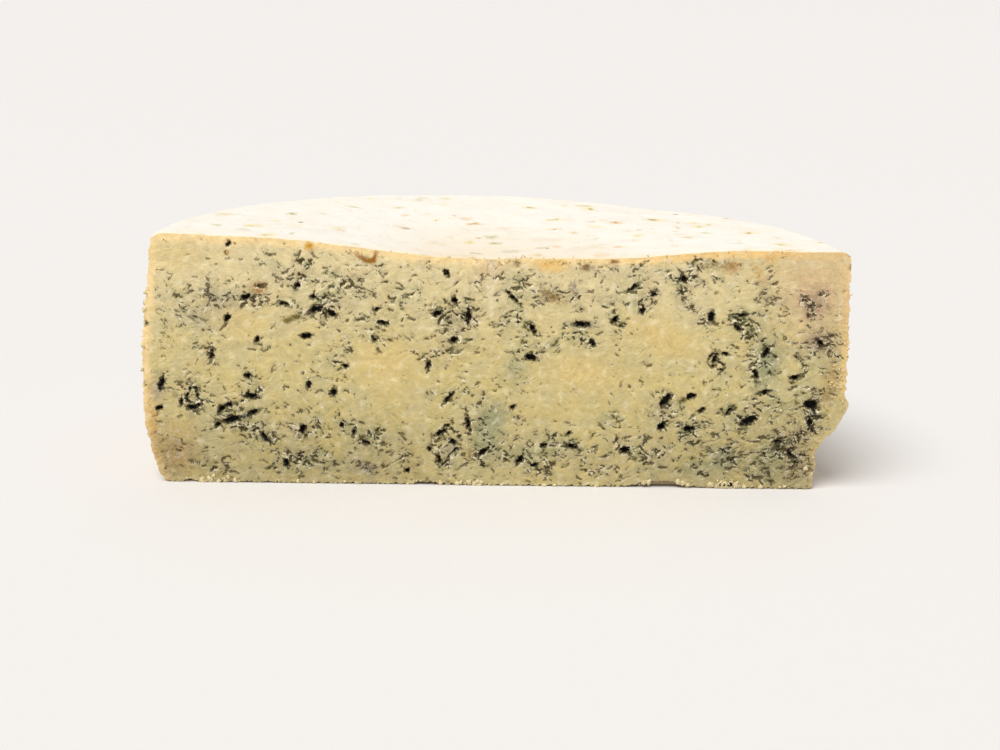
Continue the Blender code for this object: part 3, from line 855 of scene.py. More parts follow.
@dataclass(frozen=True)
class PasteFinish:
    """The cut paste: butter-coloured curd, grey-green veins, dark gaps and a golden band at the rind.

    Sizes are millimetres. A range gives where something begins and where it is complete.
    """

    gaps: Flecks
    straw: Colour = tone(202, 187, 135)
    butter: Colour = tone(209, 189, 126)
    cream: Colour = tone(240, 221, 178)
    grey_green: Colour = tone(141, 142, 99)
    grey_lilac: Colour = tone(152, 139, 107)
    # Pale colour of the pale curds and of the painted highlights on the lips of the gaps
    lip: Colour = tone(243, 231, 194)
    shadow: Colour = tone(122, 106, 56)
    mould: Colour = tone(30, 25, 8)
    mould_olive: Colour = tone(98, 75, 22)
    # Near black inside the open pockets: their mould lining, and painted shade in their depth
    hollow: Colour = tone(16, 12, 4)
    band: Colour = tone(250, 218, 156)
    band_orange: Colour = tone(247, 204, 132)
    band_width: float = 2.4
    band_swing: float = 3.2
    band_swing_size: float = 3.0
    axis_x: float = -1.0
    shine: float = 0.3
    cloud_size: float = 9.0
    curd_size: float = 2.4
    blotch_size: float = 3.0
    blotch_swing: float = 1.3
    speck_size: float = 1.2
    speck_swing: float = 1.4
    haze_size: float = 11.0
    mould_size: float = 4.0
    mould_swing: float = 1.8
    cream_across: tuple[float, float] = (50.0, 90.0)
    cream_heights: tuple[float, float] = (36.0, 72.0)
    # Painted shade on the cut: darker towards the base, away from the middle and towards the right end
    bright_middle: float = 14.0
    dim_aside: tuple[float, float] = (22.0, 44.0)
    dim_heights: tuple[float, float] = (0.0, 38.0)
    dim_right: tuple[float, float] = (60.0, 104.0)
    orange_across: tuple[float, float] = (25.0, 60.0)
    faint_across: tuple[float, float] = (85.0, 100.0)
    faint_heights: tuple[float, float] = (24.0, 46.0)

    def build(self) -> bpy.types.Material:
        """Return the material."""
        material, bench, shader = new_material("cut_paste")
        at = self.place(bench)
        colour = self.clouded(at)
        for laid_over in (self.banded, self.stained, self.lit, self.dimmed, self.darkened):
            colour = laid_over(at, colour)
        shader.inputs["Specular IOR Level"].default_value = self.shine
        bench.feed(shader.inputs["Base Color"], colour)
        bench.feed(shader.inputs["Roughness"], clamped(0.42 + at.smear * 0.18 + at.mouldy * 0.2))
        bench.feed(shader.inputs["Normal"], bumped(bench, self.height(at)))
        return material

    def place(self, bench: Bench) -> CutPlace:
        """Return what is at the place that is being coloured."""
        x, _, z = object_place_mm(bench).parts()
        x = x - self.axis_x
        flat = bench.join(x, 0.0, z)
        sheet = bench.join(x, z, 0.0)
        veining = bench.attribute("veining")
        pocket = self.gaps.pocket(bench, x, z)
        blotches = bench.wave(flat, self.blotch_size, self.blotch_swing)
        specks = bench.wave(flat, self.speck_size, self.speck_swing, roughness=0.65)
        return CutPlace(
            bench=bench, x=x, z=z, flat=flat, veining=veining, pocket=pocket,
            gap=most(self.gaps.inside(bench, x, z, veining), pocket),
            smear=self.gaps.smear(bench, x, z),
            streaks=self.gaps.grain(bench, sheet),
            bold=self.gaps.strength(bench, sheet, veining),
            mouldy=smooth_step(0.3, 1.0, veining + (blotches + specks)))

    def clouded(self, at: CutPlace) -> Arrow:
        """Return the colour of the curd, with the haze that the mould gives it."""
        cloudy = at.bench.noise(at.flat, self.cloud_size, detail=3.0, roughness=0.6)
        colour = at.bench.blend(self.straw, self.butter, smooth_step(0.35, 0.65, cloudy))
        creamy = mix(0.5, 0.28, smooth_step(*self.cream_across, at.x))
        colour = at.bench.blend(colour, self.cream, creamy * smooth_step(*self.cream_heights, at.z))
        lilac = smooth_step(0.42, 0.6, at.bench.noise(at.flat, self.haze_size))
        haze = at.bench.blend(self.grey_green, self.grey_lilac, lilac)
        halo = smooth_step(-1.0, 0.1, at.gap) * smooth_step(0.1, 0.7, at.veining)
        return at.bench.blend(colour, haze, clamped(at.mouldy * 0.54 + halo * 0.42))

    def banded(self, at: CutPlace, colour: Arrow) -> Arrow:
        """Return the colour with the band under the rind laid over it."""
        x, _, z = at.flat.parts()
        ragged = at.bench.wave(at.flat, self.band_swing_size, self.band_swing)
        rind_gap = at.bench.attribute("rind_gap") + ragged
        band = at.bench.blend(self.band, self.band_orange, smooth_step(*self.orange_across, x))
        share = 1.0 - smooth_step(0.3 * self.band_width, 1.4 * self.band_width, rind_gap)
        low = 1.0 - smooth_step(*self.faint_heights, z)
        faint = mix(0.86, 0.6 - low * 0.48, smooth_step(*self.faint_across, x))
        return at.bench.blend(colour, band, share * faint)

    @staticmethod
    def stained(at: CutPlace, colour: Arrow) -> Arrow:
        """Return the colour with the stains laid over it."""
        stain = at.bench.node("ShaderNodeAttribute", {"attribute_name": "stain"})
        strength = Wire(at.bench, stain.outputs["Alpha"])
        ragged = strength + at.bench.wave(at.flat, size=0.9, swing=1.9, detail=4.0, roughness=0.7)
        share = smooth_step(0.0, 0.8, ragged) * smooth_step(0.02, 0.3, strength)
        share = share * mix(0.8, 1.0, smooth_step(0.45, 0.75, strength))
        uneven = 0.74 + at.bench.noise(at.flat, size=0.8, detail=3.0, roughness=0.7) * 0.56
        return at.bench.blend(colour, Arrow(at.bench, stain.outputs["Color"]) * uneven, share)

    def lit(self, at: CutPlace, colour: Arrow) -> Arrow:
        """Return the colour with pale curds laid over it, and painted highlights on the lips of the gaps."""
        curd = at.bench.noise(at.flat, self.curd_size, detail=1.5)
        # Painted highlight: a pale ring at the lips of the gaps
        lip = smooth_step(-0.7, -0.4, at.gap) * (1.0 - smooth_step(-0.3, -0.12, at.gap))
        lip = lip * smooth_step(0.42, 0.56, curd) * smooth_step(0.1, 0.5, at.bold)
        pale = smooth_step(0.52, 0.72, curd) * 0.35 + smooth_step(0.56, 0.72, at.smear) * 0.1
        return at.bench.blend(colour, self.lip, clamped(pale + lip * 0.85))

    def dimmed(self, at: CutPlace, colour: Arrow) -> Arrow:
        """Return the colour with painted shade, darker towards the base, most away from the middle, and
        towards the right end; and with the paste's own uneven tone all over.
        """
        # Painted shade: darker low down, more so away from the middle, and a little towards the right end
        aside = smooth_step(*self.dim_aside, at.bench.math("ABSOLUTE", at.x - self.bright_middle))
        light = mix(mix(0.86, 0.73, aside), 1.0, smooth_step(*self.dim_heights, at.z))
        light = light * mix(1.0, 0.95, smooth_step(*self.dim_right, at.x))
        light = light + (at.smear - 0.5) * 0.2 + at.bench.wave(at.flat, size=0.7, swing=0.2)
        light = light + at.bench.wave(at.flat, size=3.4, swing=0.36) - (at.streaks - 0.5) * 0.5
        return colour * light

    def darkened(self, at: CutPlace, colour: Arrow) -> Arrow:
        """Return the colour with the gaps laid over it: olive brown, and blue-black in thick mould, with the
        open pockets near black, partly their mould lining and partly painted shade in their depth.
        """
        weight = 0.46 + at.bold * 0.54
        soft = smooth_step(-0.3, 0.04, at.gap) * 0.5
        core = smooth_step(-0.11, 0.14, at.gap)
        thick = at.veining + at.bench.wave(at.flat, self.mould_size, self.mould_swing, roughness=0.5)
        mould = at.bench.blend(self.mould_olive, self.mould, smooth_step(0.48, 1.05, thick))
        colour = at.bench.blend(colour, self.shadow, soft * weight)
        colour = at.bench.blend(colour, mould, core * weight)
        # Open pockets near black: mould lining plus painted shade in their depth
        return at.bench.blend(colour, self.hollow, smooth_step(0.03, 0.2, at.pocket))

    @staticmethod
    def height(at: CutPlace) -> Wire:
        """Return the fine relief in millimetres: grain, crumbly mould and opened gaps."""
        grain = at.bench.noise(at.flat, size=0.5, detail=3.0, roughness=0.65) * 0.1 + at.smear * 0.12
        grain = grain - at.streaks * (at.veining * 0.4 + 0.16)
        lumps = at.bench.noise(at.flat, size=1.1, detail=3.0, roughness=0.65)
        crumbly = lumps * smooth_step(0.2, 0.9, at.veining) * 0.4
        return grain + crumbly - smooth_step(-0.32, 0.1, at.gap) * 0.8


@dataclass(frozen=True)
class RindFinish:
    """The natural rind: ivory bloom, tan and olive patches where it has worn, and fine pits, with painted
    shadow on the base by the cut.

    Sizes are millimetres.
    """

    bloom: Colour = tone(235, 230, 219)
    blush: Colour = tone(232, 223, 208)
    side: Colour = tone(226, 204, 166)
    tan: Colour = tone(206, 164, 106)
    straw: Colour = tone(230, 212, 150)
    amber: Colour = tone(218, 180, 116)
    sage: Colour = tone(190, 187, 140)
    olive: Colour = tone(100, 94, 48)
    golden: Colour = tone(246, 220, 158)
    # Painted shadow on the base's rind next to the cut, low down where the bottom edge is chipped
    foot: Colour = tone(92, 80, 52)
    patch_cell: float = 6.6
    dot_cell: float = 17.0
    dot_shift: Vector = Vector((5.0, 9.0, 2.0))
    side_heights: tuple[float, float] = (66.9, 72.9)
    cut_y: float = -53.06
    golden_width: float = 1.8
    foot_across: tuple[float, float] = (80.0, 88.0)
    foot_heights: tuple[float, float] = (2.0, 3.0)
    foot_width: float = 3.0
    warp: float = 5.0
    warp_size: float = 7.0
    mottle_size: float = 9.0
    worn_size: float = 14.0
    pit_size: float = 2.2
    fine_size: float = 0.8

    def build(self) -> bpy.types.Material:
        """Return the material."""
        material, bench, shader = new_material("rind")
        place = object_place_mm(bench)
        along, back, height = place.parts()
        warped = place + bench.noise_vector(place, self.warp_size, detail=2.0) * self.warp
        side = 1.0 - smooth_step(*self.side_heights, height)
        mottle = smooth_step(0.42, 0.62, bench.noise(warped, self.mottle_size, detail=4.0, roughness=0.6))
        colour = bench.blend(self.bloom, self.blush, mottle * 0.5)
        colour = bench.blend(colour, self.side, side * 0.9)
        worn = smooth_step(0.52, 0.68, bench.noise(warped, self.worn_size, detail=5.0, roughness=0.62))
        colour = bench.blend(colour, self.tan, worn * mix(0.05, 0.6, side))
        colour = self.patched(bench, place, colour)
        colour = self.dotted(bench, place, colour)
        behind = back - self.cut_y
        colour = bench.blend(colour, self.golden, exp(-behind / self.golden_width) * 0.7)
        # Painted shadow: darken the base's rind near the cut and near the floor
        under = 1.0 - smooth_step(*self.foot_across, bench.math("ABSOLUTE", along))
        under = under * (1.0 - smooth_step(*self.foot_heights, height))
        colour = bench.blend(colour, self.foot, under * exp(-behind / self.foot_width))
        fine = bench.noise(place, self.fine_size, detail=4.0, roughness=0.7)
        bench.feed(shader.inputs["Base Color"], colour * (0.95 + fine * 0.1))
        bench.feed(shader.inputs["Roughness"], clamped(0.72 + fine * 0.2 - worn * 0.1))
        pits = smooth_step(0.2, 0.5, bench.noise(warped, self.pit_size))
        bench.feed(shader.inputs["Normal"], bumped(bench, fine * 0.16 + pits * 0.14 + worn * 0.1))
        return material

    def patched(self, bench: Bench, place: Arrow, colour: Arrow) -> Arrow:
        """Return the colour with soft patches over it: straw, amber or sage, and few of them strong."""
        torn = place + bench.noise_vector(place, size=1.8, detail=3.0) * 3.0
        torn = torn + bench.noise_vector(place, size=6.0) * 6.0
        away, draws, _ = bench.cells(torn, self.patch_cell)
        away = away * self.patch_cell
        strength, size, hue = draws.parts()
        reach = size * size * 3.4 + 1.3
        patch = 1.0 - smooth_step(0.2 * reach, reach, away)
        shade = bench.blend(self.straw, self.sage, smooth_step(0.3, 0.55, hue))
        shade = bench.blend(shade, self.amber, smooth_step(0.68, 0.75, hue))
        colour = bench.blend(colour, shade, patch * smooth_step(0.05, 0.8, strength) * 0.8)
        core = 1.0 - smooth_step(0.05 * reach, 0.42 * reach, away)
        return bench.blend(colour, self.olive, core * smooth_step(0.45, 0.95, strength) * 0.7)

    def dotted(self, bench: Bench, place: Arrow, colour: Arrow) -> Arrow:
        """Return the colour with a few small dark dots over it."""
        torn = place + bench.noise_vector(place, size=1.2, detail=3.0) * 1.6
        away, draws, _ = bench.cells(torn + self.dot_shift, self.dot_cell)
        strength, size, _ = draws.parts()
        dot = 1.0 - smooth_step(0.4, 1.3, away * self.dot_cell - size)
        return bench.blend(colour, self.olive, dot * smooth_step(0.2, 0.9, strength) * 0.8)


@dataclass(frozen=True)
class CrumbFinish:
    """Loose curd: pale, and ochre to brown in places along the top edge. Sizes are millimetres."""

    pale: Colour = tone(217, 201, 155)
    ochre: Colour = tone(192, 150, 78)
    dark: Colour = tone(112, 90, 54)
    top_from: float = 64.0
    top_fade: float = 4.0
    patch_size: float = 3.5
    fine_size: float = 0.5

    def build(self, name: str) -> bpy.types.Material:
        """Return the material."""
        material, bench, shader = new_material(name)
        place = object_place_mm(bench)
        patchy = bench.noise(place, self.patch_size, detail=3.0, roughness=0.6)
        edge = smooth_step(self.top_from, self.top_from + self.top_fade, place.parts()[2])
        colour = bench.blend(self.pale, self.ochre, edge * smooth_step(0.44, 0.56, patchy))
        colour = bench.blend(colour, self.dark, edge * smooth_step(0.58, 0.66, patchy))
        fine = bench.noise(place, self.fine_size)
        bench.feed(shader.inputs["Base Color"], colour * (0.88 + fine * 0.24))
        bench.feed(shader.inputs["Roughness"], 0.6)
        return material


@dataclass(frozen=True)
class FloorFinish:
    """The pale matt floor."""

    pale: Colour = (0.72, 0.70, 0.68, 1.0)

    def build(self) -> bpy.types.Material:
        """Return the material."""
        material, bench, shader = new_material("pale_floor")
        bench.feed(shader.inputs["Base Color"], self.pale)
        bench.feed(shader.inputs["Roughness"], 0.9)
        return material


# ---------------------------------------------------------------- the plain half wheel's points


class Side(Enum):
    """The four surfaces of the half wheel, numbered as its patches are."""

    CUT = 0
    TOP = 1
    RIND = 2
    BASE = 3


@dataclass
class Patch:
    """One surface of the plain half wheel: triangles with a place in space and a place in the bake."""

    side: Side
    places: np.ndarray
    bake: np.ndarray
    triangles: np.ndarray


def fill(outline: np.ndarray, inner: np.ndarray) -> tuple[np.ndarray, np.ndarray]:
    """Triangulate a flat outline.

    Args:
        outline: The points round it, in order.
        inner: The points within it.

    Returns:
        All the points, and three point numbers for each triangle.
    """
    points = np.vstack((outline, inner))
    count = len(outline)
    edges = [(start, (start + 1) % count) for start in range(count)]
    inside_only, nearness = 1, 1e-7
    _, _, faces, origins, _, _ = delaunay_2d_cdt(
        [Vector(point) for point in points], edges, [], inside_only, nearness)
    first = np.array([origin[0] for origin in origins])
    return points, first[np.array([face[:3] for face in faces])]


@dataclass(frozen=True)
class BlankWheel:
    """The plain half wheel before it is shaped: a straight side with rounded edges, on its base.

    Rows of points lie row_share of a spacing apart, and stay margin of a spacing off an outline. The
    cut's points are close together where the busy limits say that there is something to see.
    """

    sizes: WheelSizes
    cut_face: CutFace
    top_rounding: float = 2.2 * MM
    base_rounding: float = 1.2 * MM
    fine: float = 0.46 * MM
    coarse: float = 0.6 * MM
    rind_step: float = 1.5 * MM
    base_step: float = 4.0 * MM
    growth: float = 0.13
    row_share: float = 0.866
    margin: float = 0.6
    arc_margin: float = 0.3 * MM
    straight_rows: float = 2.0 * MM
    busy_veining: float = 0.6
    busy_pocket_mm: float = -1.0
    busy_rind_mm: float = 1.0
    jitter: float = 0.22
    seed: int = 7

    def profile(self) -> np.ndarray:
        """Return the points (radius, height, length along) of the side, from the base to the top."""
        low, high = self.base_rounding, self.top_rounding
        straight = self.sizes.rim_height - low - high
        total = 0.5 * math.pi * low + straight + 0.5 * math.pi * high
        along = np.linspace(0.0, total, round(total / self.fine) + 1)
        return np.column_stack((*self.on_profile(along), along))

    def on_profile(self, along: np.ndarray) -> tuple[np.ndarray, np.ndarray]:
        """Return the radius and height at each length along the side's profile."""
        radius, height = self.sizes.belly_radius, self.sizes.rim_height
        low, high = self.base_rounding, self.top_rounding
        foot = 0.5 * math.pi * low
        shoulder = foot + height - low - high
        turn_low = np.clip(along / low, 0.0, 0.5 * math.pi)
        turn_high = np.clip((along - shoulder) / high, 0.0, 0.5 * math.pi)
        out = radius - low * (1.0 - np.sin(turn_low)) - high * (1.0 - np.cos(turn_high))
        straight = np.clip(along - foot, 0.0, height - low - high)
        up = low * (1.0 - np.cos(turn_low)) + straight + high * np.sin(turn_high)
        return out, up

    def rows(self, length: float, steepest: float) -> list[tuple[float, float]]:
        """Return (place, spacing) of rows that start fine and grow apart towards the length given."""
        rows = []
        place, step = 0.75 * self.fine, self.fine
        while place < length - 0.5 * step:
            rows.append((place, step))
            step = min(self.fine + self.growth * place, steepest)
            place += self.row_share * step
        return rows

    @staticmethod
    def spaced(half: float, step: float, odd: bool) -> np.ndarray:
        """Return places from -half to about half, a step apart, and half a step along on odd rows."""
        count = max(int(2.0 * half / step), 1)
        start = -half + (0.5 * step if odd else 0.0)
        return start + step * np.arange(count + 1)

    def row(self, half: float, step: float, odd: bool) -> np.ndarray:
        """Return such places, from -half to half and no further, and none if half is below 0."""
        places = self.spaced(half, step, odd) if half > 0.0 else np.zeros(0)
        return places[np.abs(places) <= half]

    def shaken(self, points: np.ndarray, steps: np.ndarray, draw: np.random.Generator) -> np.ndarray:
        """Move points a little at random, so that no grid shows."""
        return points + draw.uniform(-1.0, 1.0, points.shape) * self.jitter * steps[:, None]

    def real(self, x: np.ndarray, y: np.ndarray, z: np.ndarray) -> tuple[np.ndarray, np.ndarray]:
        """Return where plain places come to lie along the cut and in height, in millimetres."""
        cosine = x / np.maximum(np.hypot(x, y), MM * TINY)
        spread = self.sizes.side_radius(cosine, z) / self.sizes.belly_radius
        height = z * self.sizes.top_height(x * spread, y * spread) / self.sizes.rim_height
        return x * spread / MM, height / MM

    def cut_points(self, draw: np.random.Generator) -> np.ndarray:
        """Return the cut's inner points (x, z), close together where there is something to see."""
        kept = []
        for step, wanted_fine in ((self.fine, True), (self.coarse, False)):
            points = []
            for row in range(int((self.sizes.rim_height - step) / (self.row_share * step)) + 1):
                z = self.margin * step + row * self.row_share * step
                if z > self.sizes.rim_height - 0.5 * step:
                    break
                x = self.row(self.half_width(z) - self.margin * step, step, bool(row % 2))
                points.append(np.column_stack((x, np.full_like(x, z))))
            points = np.vstack(points)
            points = self.shaken(points, np.full(len(points), step), draw)
            x, z = self.real(points[:, 0], np.zeros(len(points)), points[:, 1])
            busy = self.cut_face.veining(x, z) > self.busy_veining
            busy |= self.cut_face.pocket(x, z) > self.busy_pocket_mm
            busy |= self.cut_face.rind_gap(self.sizes, x, z) < self.busy_rind_mm
            kept.append(points[busy == wanted_fine])
        return np.vstack(kept)

    def half_width(self, z: float) -> float:
        """Return half the plain cut's width at a height."""
        out = self.sizes.belly_radius
        shoulder = self.sizes.rim_height - self.top_rounding
        low, high = self.base_rounding, self.top_rounding
        for rounding, beyond in ((low, low - z), (high, z - shoulder)):
            if beyond > 0.0:
                out -= rounding - math.sqrt(max(rounding * rounding - beyond ** 2, 0.0))
        return out

    def straight_edge(self, radius: float) -> np.ndarray:
        """Return places across the wheel from the left to the right, for the cut's top or bottom edge."""
        return np.linspace(-radius, radius, round(2.0 * radius / self.fine) + 1)

    def turn_angles(self) -> np.ndarray:
        """Return the angles of the points round the rim, close together at both ends."""
        half = [0.0]
        step = self.fine
        quarter = 0.5 * math.pi * self.sizes.belly_radius
        while half[-1] < quarter:
            half.append(half[-1] + step)
            step = min(self.fine + self.growth * half[-1], self.rind_step)
        half = np.array(half) * quarter / half[-1]
        return np.concatenate((half, 2.0 * quarter - half[-2::-1])) / self.sizes.belly_radius

    def cut_patch(self, draw: np.random.Generator) -> Patch:
        """Return the cut face."""
        profile = self.profile()
        low = self.straight_edge(profile[0, 0])
        high = self.straight_edge(profile[-1, 0])
        outline = np.vstack((
            np.column_stack((low, np.zeros_like(low))),
            profile[1:, :2],
            np.column_stack((high[::-1], np.full_like(high, self.sizes.rim_height)))[1:],
            (profile[::-1, :2] * (-1.0, 1.0))[1:-1],
        ))
        points, triangles = fill(outline, self.cut_points(draw))
        places = np.column_stack((points[:, 0], np.zeros(len(points)), points[:, 1]))
        return Patch(Side.CUT, places, points - points.min(0), triangles)

    def flat_patch(self, side: Side, radius: float, height: float, widest: float,
                   draw: np.random.Generator) -> Patch:
        """Return the top or the base.

        Args:
            side: Which of the two it is.
            radius: The radius of its flat part.
            height: Its height.
            widest: The largest spacing of its points.
            draw: The random draws.

        Returns:
            The patch.
        """
        edge = self.straight_edge(radius)
        angles = self.turn_angles()[1:-1]
        arc = np.column_stack((np.cos(angles), np.sin(angles))) * radius
        outline = np.vstack((np.column_stack((edge, np.zeros_like(edge))), arc))
        inner, steps = [], []
        for row, (y, step) in enumerate(self.rows(radius, widest)):
            half = math.sqrt(max(radius * radius - y * y, 0.0)) - self.margin * step
            x = self.row(half, step, bool(row % 2))
            inner.append(np.column_stack((x, np.full_like(x, y))))
            steps.append(np.full(len(x), step))
        inner, steps = np.vstack(inner), np.concatenate(steps)
        inner = self.shaken(inner, np.where(inner[:, 1] > self.straight_rows, steps, 0.0), draw)
        inside = np.hypot(inner[:, 0], inner[:, 1]) < radius - self.arc_margin
        points, triangles = fill(outline, inner[inside])
        if side is Side.BASE:
            triangles = triangles[:, ::-1]
        places = np.column_stack((points, np.full(len(points), height)))
        return Patch(side, places, points - points.min(0), triangles)

    def rind_patch(self, draw: np.random.Generator) -> Patch:
        """Return the side with its rounded edges, laid out flat as (length round, length along)."""
        profile = self.profile()
        top = profile[-1, 2]
        angles = self.turn_angles()
        radius = self.sizes.belly_radius
        around = angles * radius
        length = around[-1]
        outline = np.vstack((
            np.column_stack((around, np.zeros_like(around))),
            np.column_stack((np.full(len(profile), length), profile[:, 2]))[1:],
            np.column_stack((around[::-1], np.full_like(around, top)))[1:],
            np.column_stack((np.zeros(len(profile)), profile[::-1, 2]))[1:-1],
        ))
        inner, steps = [], []
        for row, (place, step) in enumerate(self.rows(0.5 * length, self.rind_step)):
            along = 0.5 * top + self.spaced(0.5 * top - self.margin * step, step, bool(row % 2))
            along = along[(along > 0.5 * step) & (along < top - 0.5 * step)]
            for distance in {place, length - place}:
                inner.append(np.column_stack((np.full_like(along, distance), along)))
                steps.append(np.full(len(along), step))
        inner, steps = np.vstack(inner), np.concatenate(steps)
        points, triangles = fill(outline, self.shaken(inner, 0.5 * steps, draw))
        out, up = self.on_profile(points[:, 1])
        angle = points[:, 0] / radius
        places = np.column_stack((out * np.cos(angle), out * np.sin(angle), up))
        return Patch(Side.RIND, places, points, triangles)

    def build(self) -> bpy.types.Mesh:
        """Return the closed plain half wheel, with its bake map and the cut face's maps on it."""
        draw = np.random.default_rng(self.seed)
        base_radius, top_radius = self.profile()[0, 0], self.profile()[-1, 0]
        patches = (
            self.cut_patch(draw),
            self.rind_patch(draw),
            self.flat_patch(Side.TOP, top_radius, self.sizes.rim_height, self.rind_step, draw),
            self.flat_patch(Side.BASE, base_radius, 0.0, self.base_step, draw),
        )
        mesh = self.joined(patches)
        self.mark_sharp(mesh)
        self.store_maps(mesh)
        LOG.info("plain half wheel: %d triangles", len(mesh.polygons))
        return mesh

    @staticmethod
    def joined(patches: tuple[Patch, ...]) -> bpy.types.Mesh:
        """Return the patches as one mesh, with shared edges merged."""
        offsets = np.cumsum([0] + [len(patch.places) for patch in patches[:-1]])
        triangles = np.vstack([patch.triangles + start for patch, start in zip(patches, offsets)])
        mesh = bpy.data.meshes.new("plain_half_wheel")
        mesh.from_pydata(np.vstack([patch.places for patch in patches]).tolist(), [], triangles.tolist())
        sides = np.concatenate([np.full(len(patch.triangles), patch.side.value) for patch in patches])
        mesh.attributes.new("side", "INT", "FACE").data.foreach_set("value", sides.astype(np.int32))
        corners = np.vstack([BAKE_LAYOUT[patch.side].lay(patch.bake)[patch.triangles.ravel()]
                             for patch in patches])
        mesh.uv_layers.new(name=BAKE_MAP).data.foreach_set("uv", corners.ravel())
        merged = bmesh.new()
        merged.from_mesh(mesh)
        bmesh.ops.remove_doubles(merged, verts=merged.verts, dist=TINY)
        merged.to_mesh(mesh)
        merged.free()
        return mesh

    @staticmethod
    def mark_sharp(mesh: bpy.types.Mesh) -> None:
        """Shade the mesh smooth, with a sharp edge all round the cut face."""
        sides = np.empty(len(mesh.polygons), np.int32)
        mesh.attributes["side"].data.foreach_get("value", sides)
        edges = np.empty(len(mesh.loops), np.int32)
        mesh.loops.foreach_get("edge_index", edges)
        cut = np.repeat(sides == Side.CUT.value, 3)
        touches = np.zeros((2, len(mesh.edges)), bool)
        touches[0, edges[cut]] = True
        touches[1, edges[~cut]] = True
        mesh.shade_smooth()
        sharp = mesh.attributes.new("sharp_edge", "BOOLEAN", "EDGE")
        sharp.data.foreach_set("value", touches[0] & touches[1])

    def store_maps(self, mesh: bpy.types.Mesh) -> None:
        """Store the cut face's maps on the mesh's points."""
        places = np.empty(3 * len(mesh.vertices))
        mesh.vertices.foreach_get("co", places)
        x, y, z = places.reshape(-1, 3).T
        x, z = self.real(x, y, z)
        rind_gap = self.cut_face.rind_gap(self.sizes, x, z)
        maps = {
            "veining": self.cut_face.veining(x, z) * smooth_step(-0.5, 1.8, rind_gap),
            "pocket": self.cut_face.pocket(x, z),
            "rind_gap": rind_gap,
            "frays": self.cut_face.scatter(FRAYS, x, y / MM, z),
        }
        by_veins = self.cut_face.crumbs_by_veins * maps["veining"] ** 2 * (y < TINY)
        maps["crumbs"] = self.cut_face.scatter(CRUMBS, x, y / MM, z) + by_veins
        for name, values in maps.items():
            mesh.attributes.new(name, "FLOAT", "POINT").data.foreach_set("value", values)
        stain = mesh.attributes.new("stain", "FLOAT_COLOR", "POINT")
        stain.data.foreach_set("color", self.cut_face.stains(x, z).ravel())


@dataclass(frozen=True)
class BakePlace:
    """Where a surface lies in the square that its look is baked to."""

    left: float
    low: float
    per_metre: float

    def lay(self, places: np.ndarray) -> np.ndarray:
        """Return bake coordinates of flat places in metres."""
        return places * self.per_metre + (self.left, self.low)


BAKE_LAYOUT = {
    Side.CUT: BakePlace(0.006, 0.006, 4.7),
    Side.RIND: BakePlace(0.006, 0.375, 2.95),
    Side.TOP: BakePlace(0.006, 0.622, 3.3),
    Side.BASE: BakePlace(0.69, 0.622, 1.42),
}


# ---------------------------------------------------------------- the shaped half wheel


def new_tree(name: str, sizes: dict[str, float]) -> tuple[bpy.types.NodeTree, Bench, dict[str, Wire]]:
    """Make an empty Geometry Nodes tree.

    Args:
        name: The tree's name.
        sizes: Its named number inputs, with their values.

    Returns:
        The tree, a bench on it and a wire for each input.
    """
    tree = bpy.data.node_groups.new(name, "GeometryNodeTree")
    tree.interface.new_socket("Geometry", in_out="INPUT", socket_type="NodeSocketGeometry")
    tree.interface.new_socket("Geometry", in_out="OUTPUT", socket_type="NodeSocketGeometry")
    for label, value in sizes.items():
        socket = tree.interface.new_socket(label, in_out="INPUT", socket_type="NodeSocketFloat")
        socket.default_value = value
    bench = Bench(tree)
    group = bench.node("NodeGroupInput")
    wires = {label: Wire(bench, group.outputs[label]) for label in sizes}
    wires["Geometry"] = Wire(bench, group.outputs["Geometry"])
    return tree, bench, wires


def grown(name: str, mesh: bpy.types.Mesh, tree: bpy.types.NodeTree,
          sizes: dict[str, float]) -> bpy.types.Object:
    """Run a tree on a mesh.

    Args:
        name: The finished object's name.
        mesh: What the tree starts from.
        tree: The tree.
        sizes: The value of each of its number inputs.

    Returns:
        An object at the origin with the result as a plain mesh, and no modifier.
    """
    thing = bpy.data.objects.new(name, mesh)
    bpy.context.scene.collection.objects.link(thing)
    modifier = thing.modifiers.new("Shape", "NODES")
    modifier.node_group = tree
    for item in tree.interface.items_tree:
        if item.in_out == "INPUT" and item.name in sizes:
            modifier[item.identifier] = sizes[item.name]
    bpy.context.view_layer.update()
    evaluated = thing.evaluated_get(bpy.context.evaluated_depsgraph_get())
    finished = bpy.data.meshes.new_from_object(evaluated)
    thing.modifiers.remove(modifier)
    thing.data = finished
    bpy.data.meshes.remove(mesh)
    return thing


def plain_words(name: str) -> str:
    """Turn a field's name into an input's label."""
    return name.replace("_", " ").capitalize()


def labelled(*groups: Any) -> dict[str, float]:
    """Return each size in some dataclasses under its input's label."""
    return {plain_words(item.name): getattr(group, item.name) for group in groups for item in fields(group)}


def wired(kind: type[Group], wires: dict[str, Wire]) -> Group:
    """Return a dataclass that holds the wires of a tree's inputs in place of its sizes."""
    return kind(**{item.name: wires[plain_words(item.name)] for item in fields(kind)})


def held(bench: Bench, parts: Iterable[Wire], low: Vector, high: Vector) -> Arrow:
    """Return the place with these parts, held inside a box."""
    return bench.join(*(least(most(part, start), end) for part, start, end in zip(parts, low, high)))


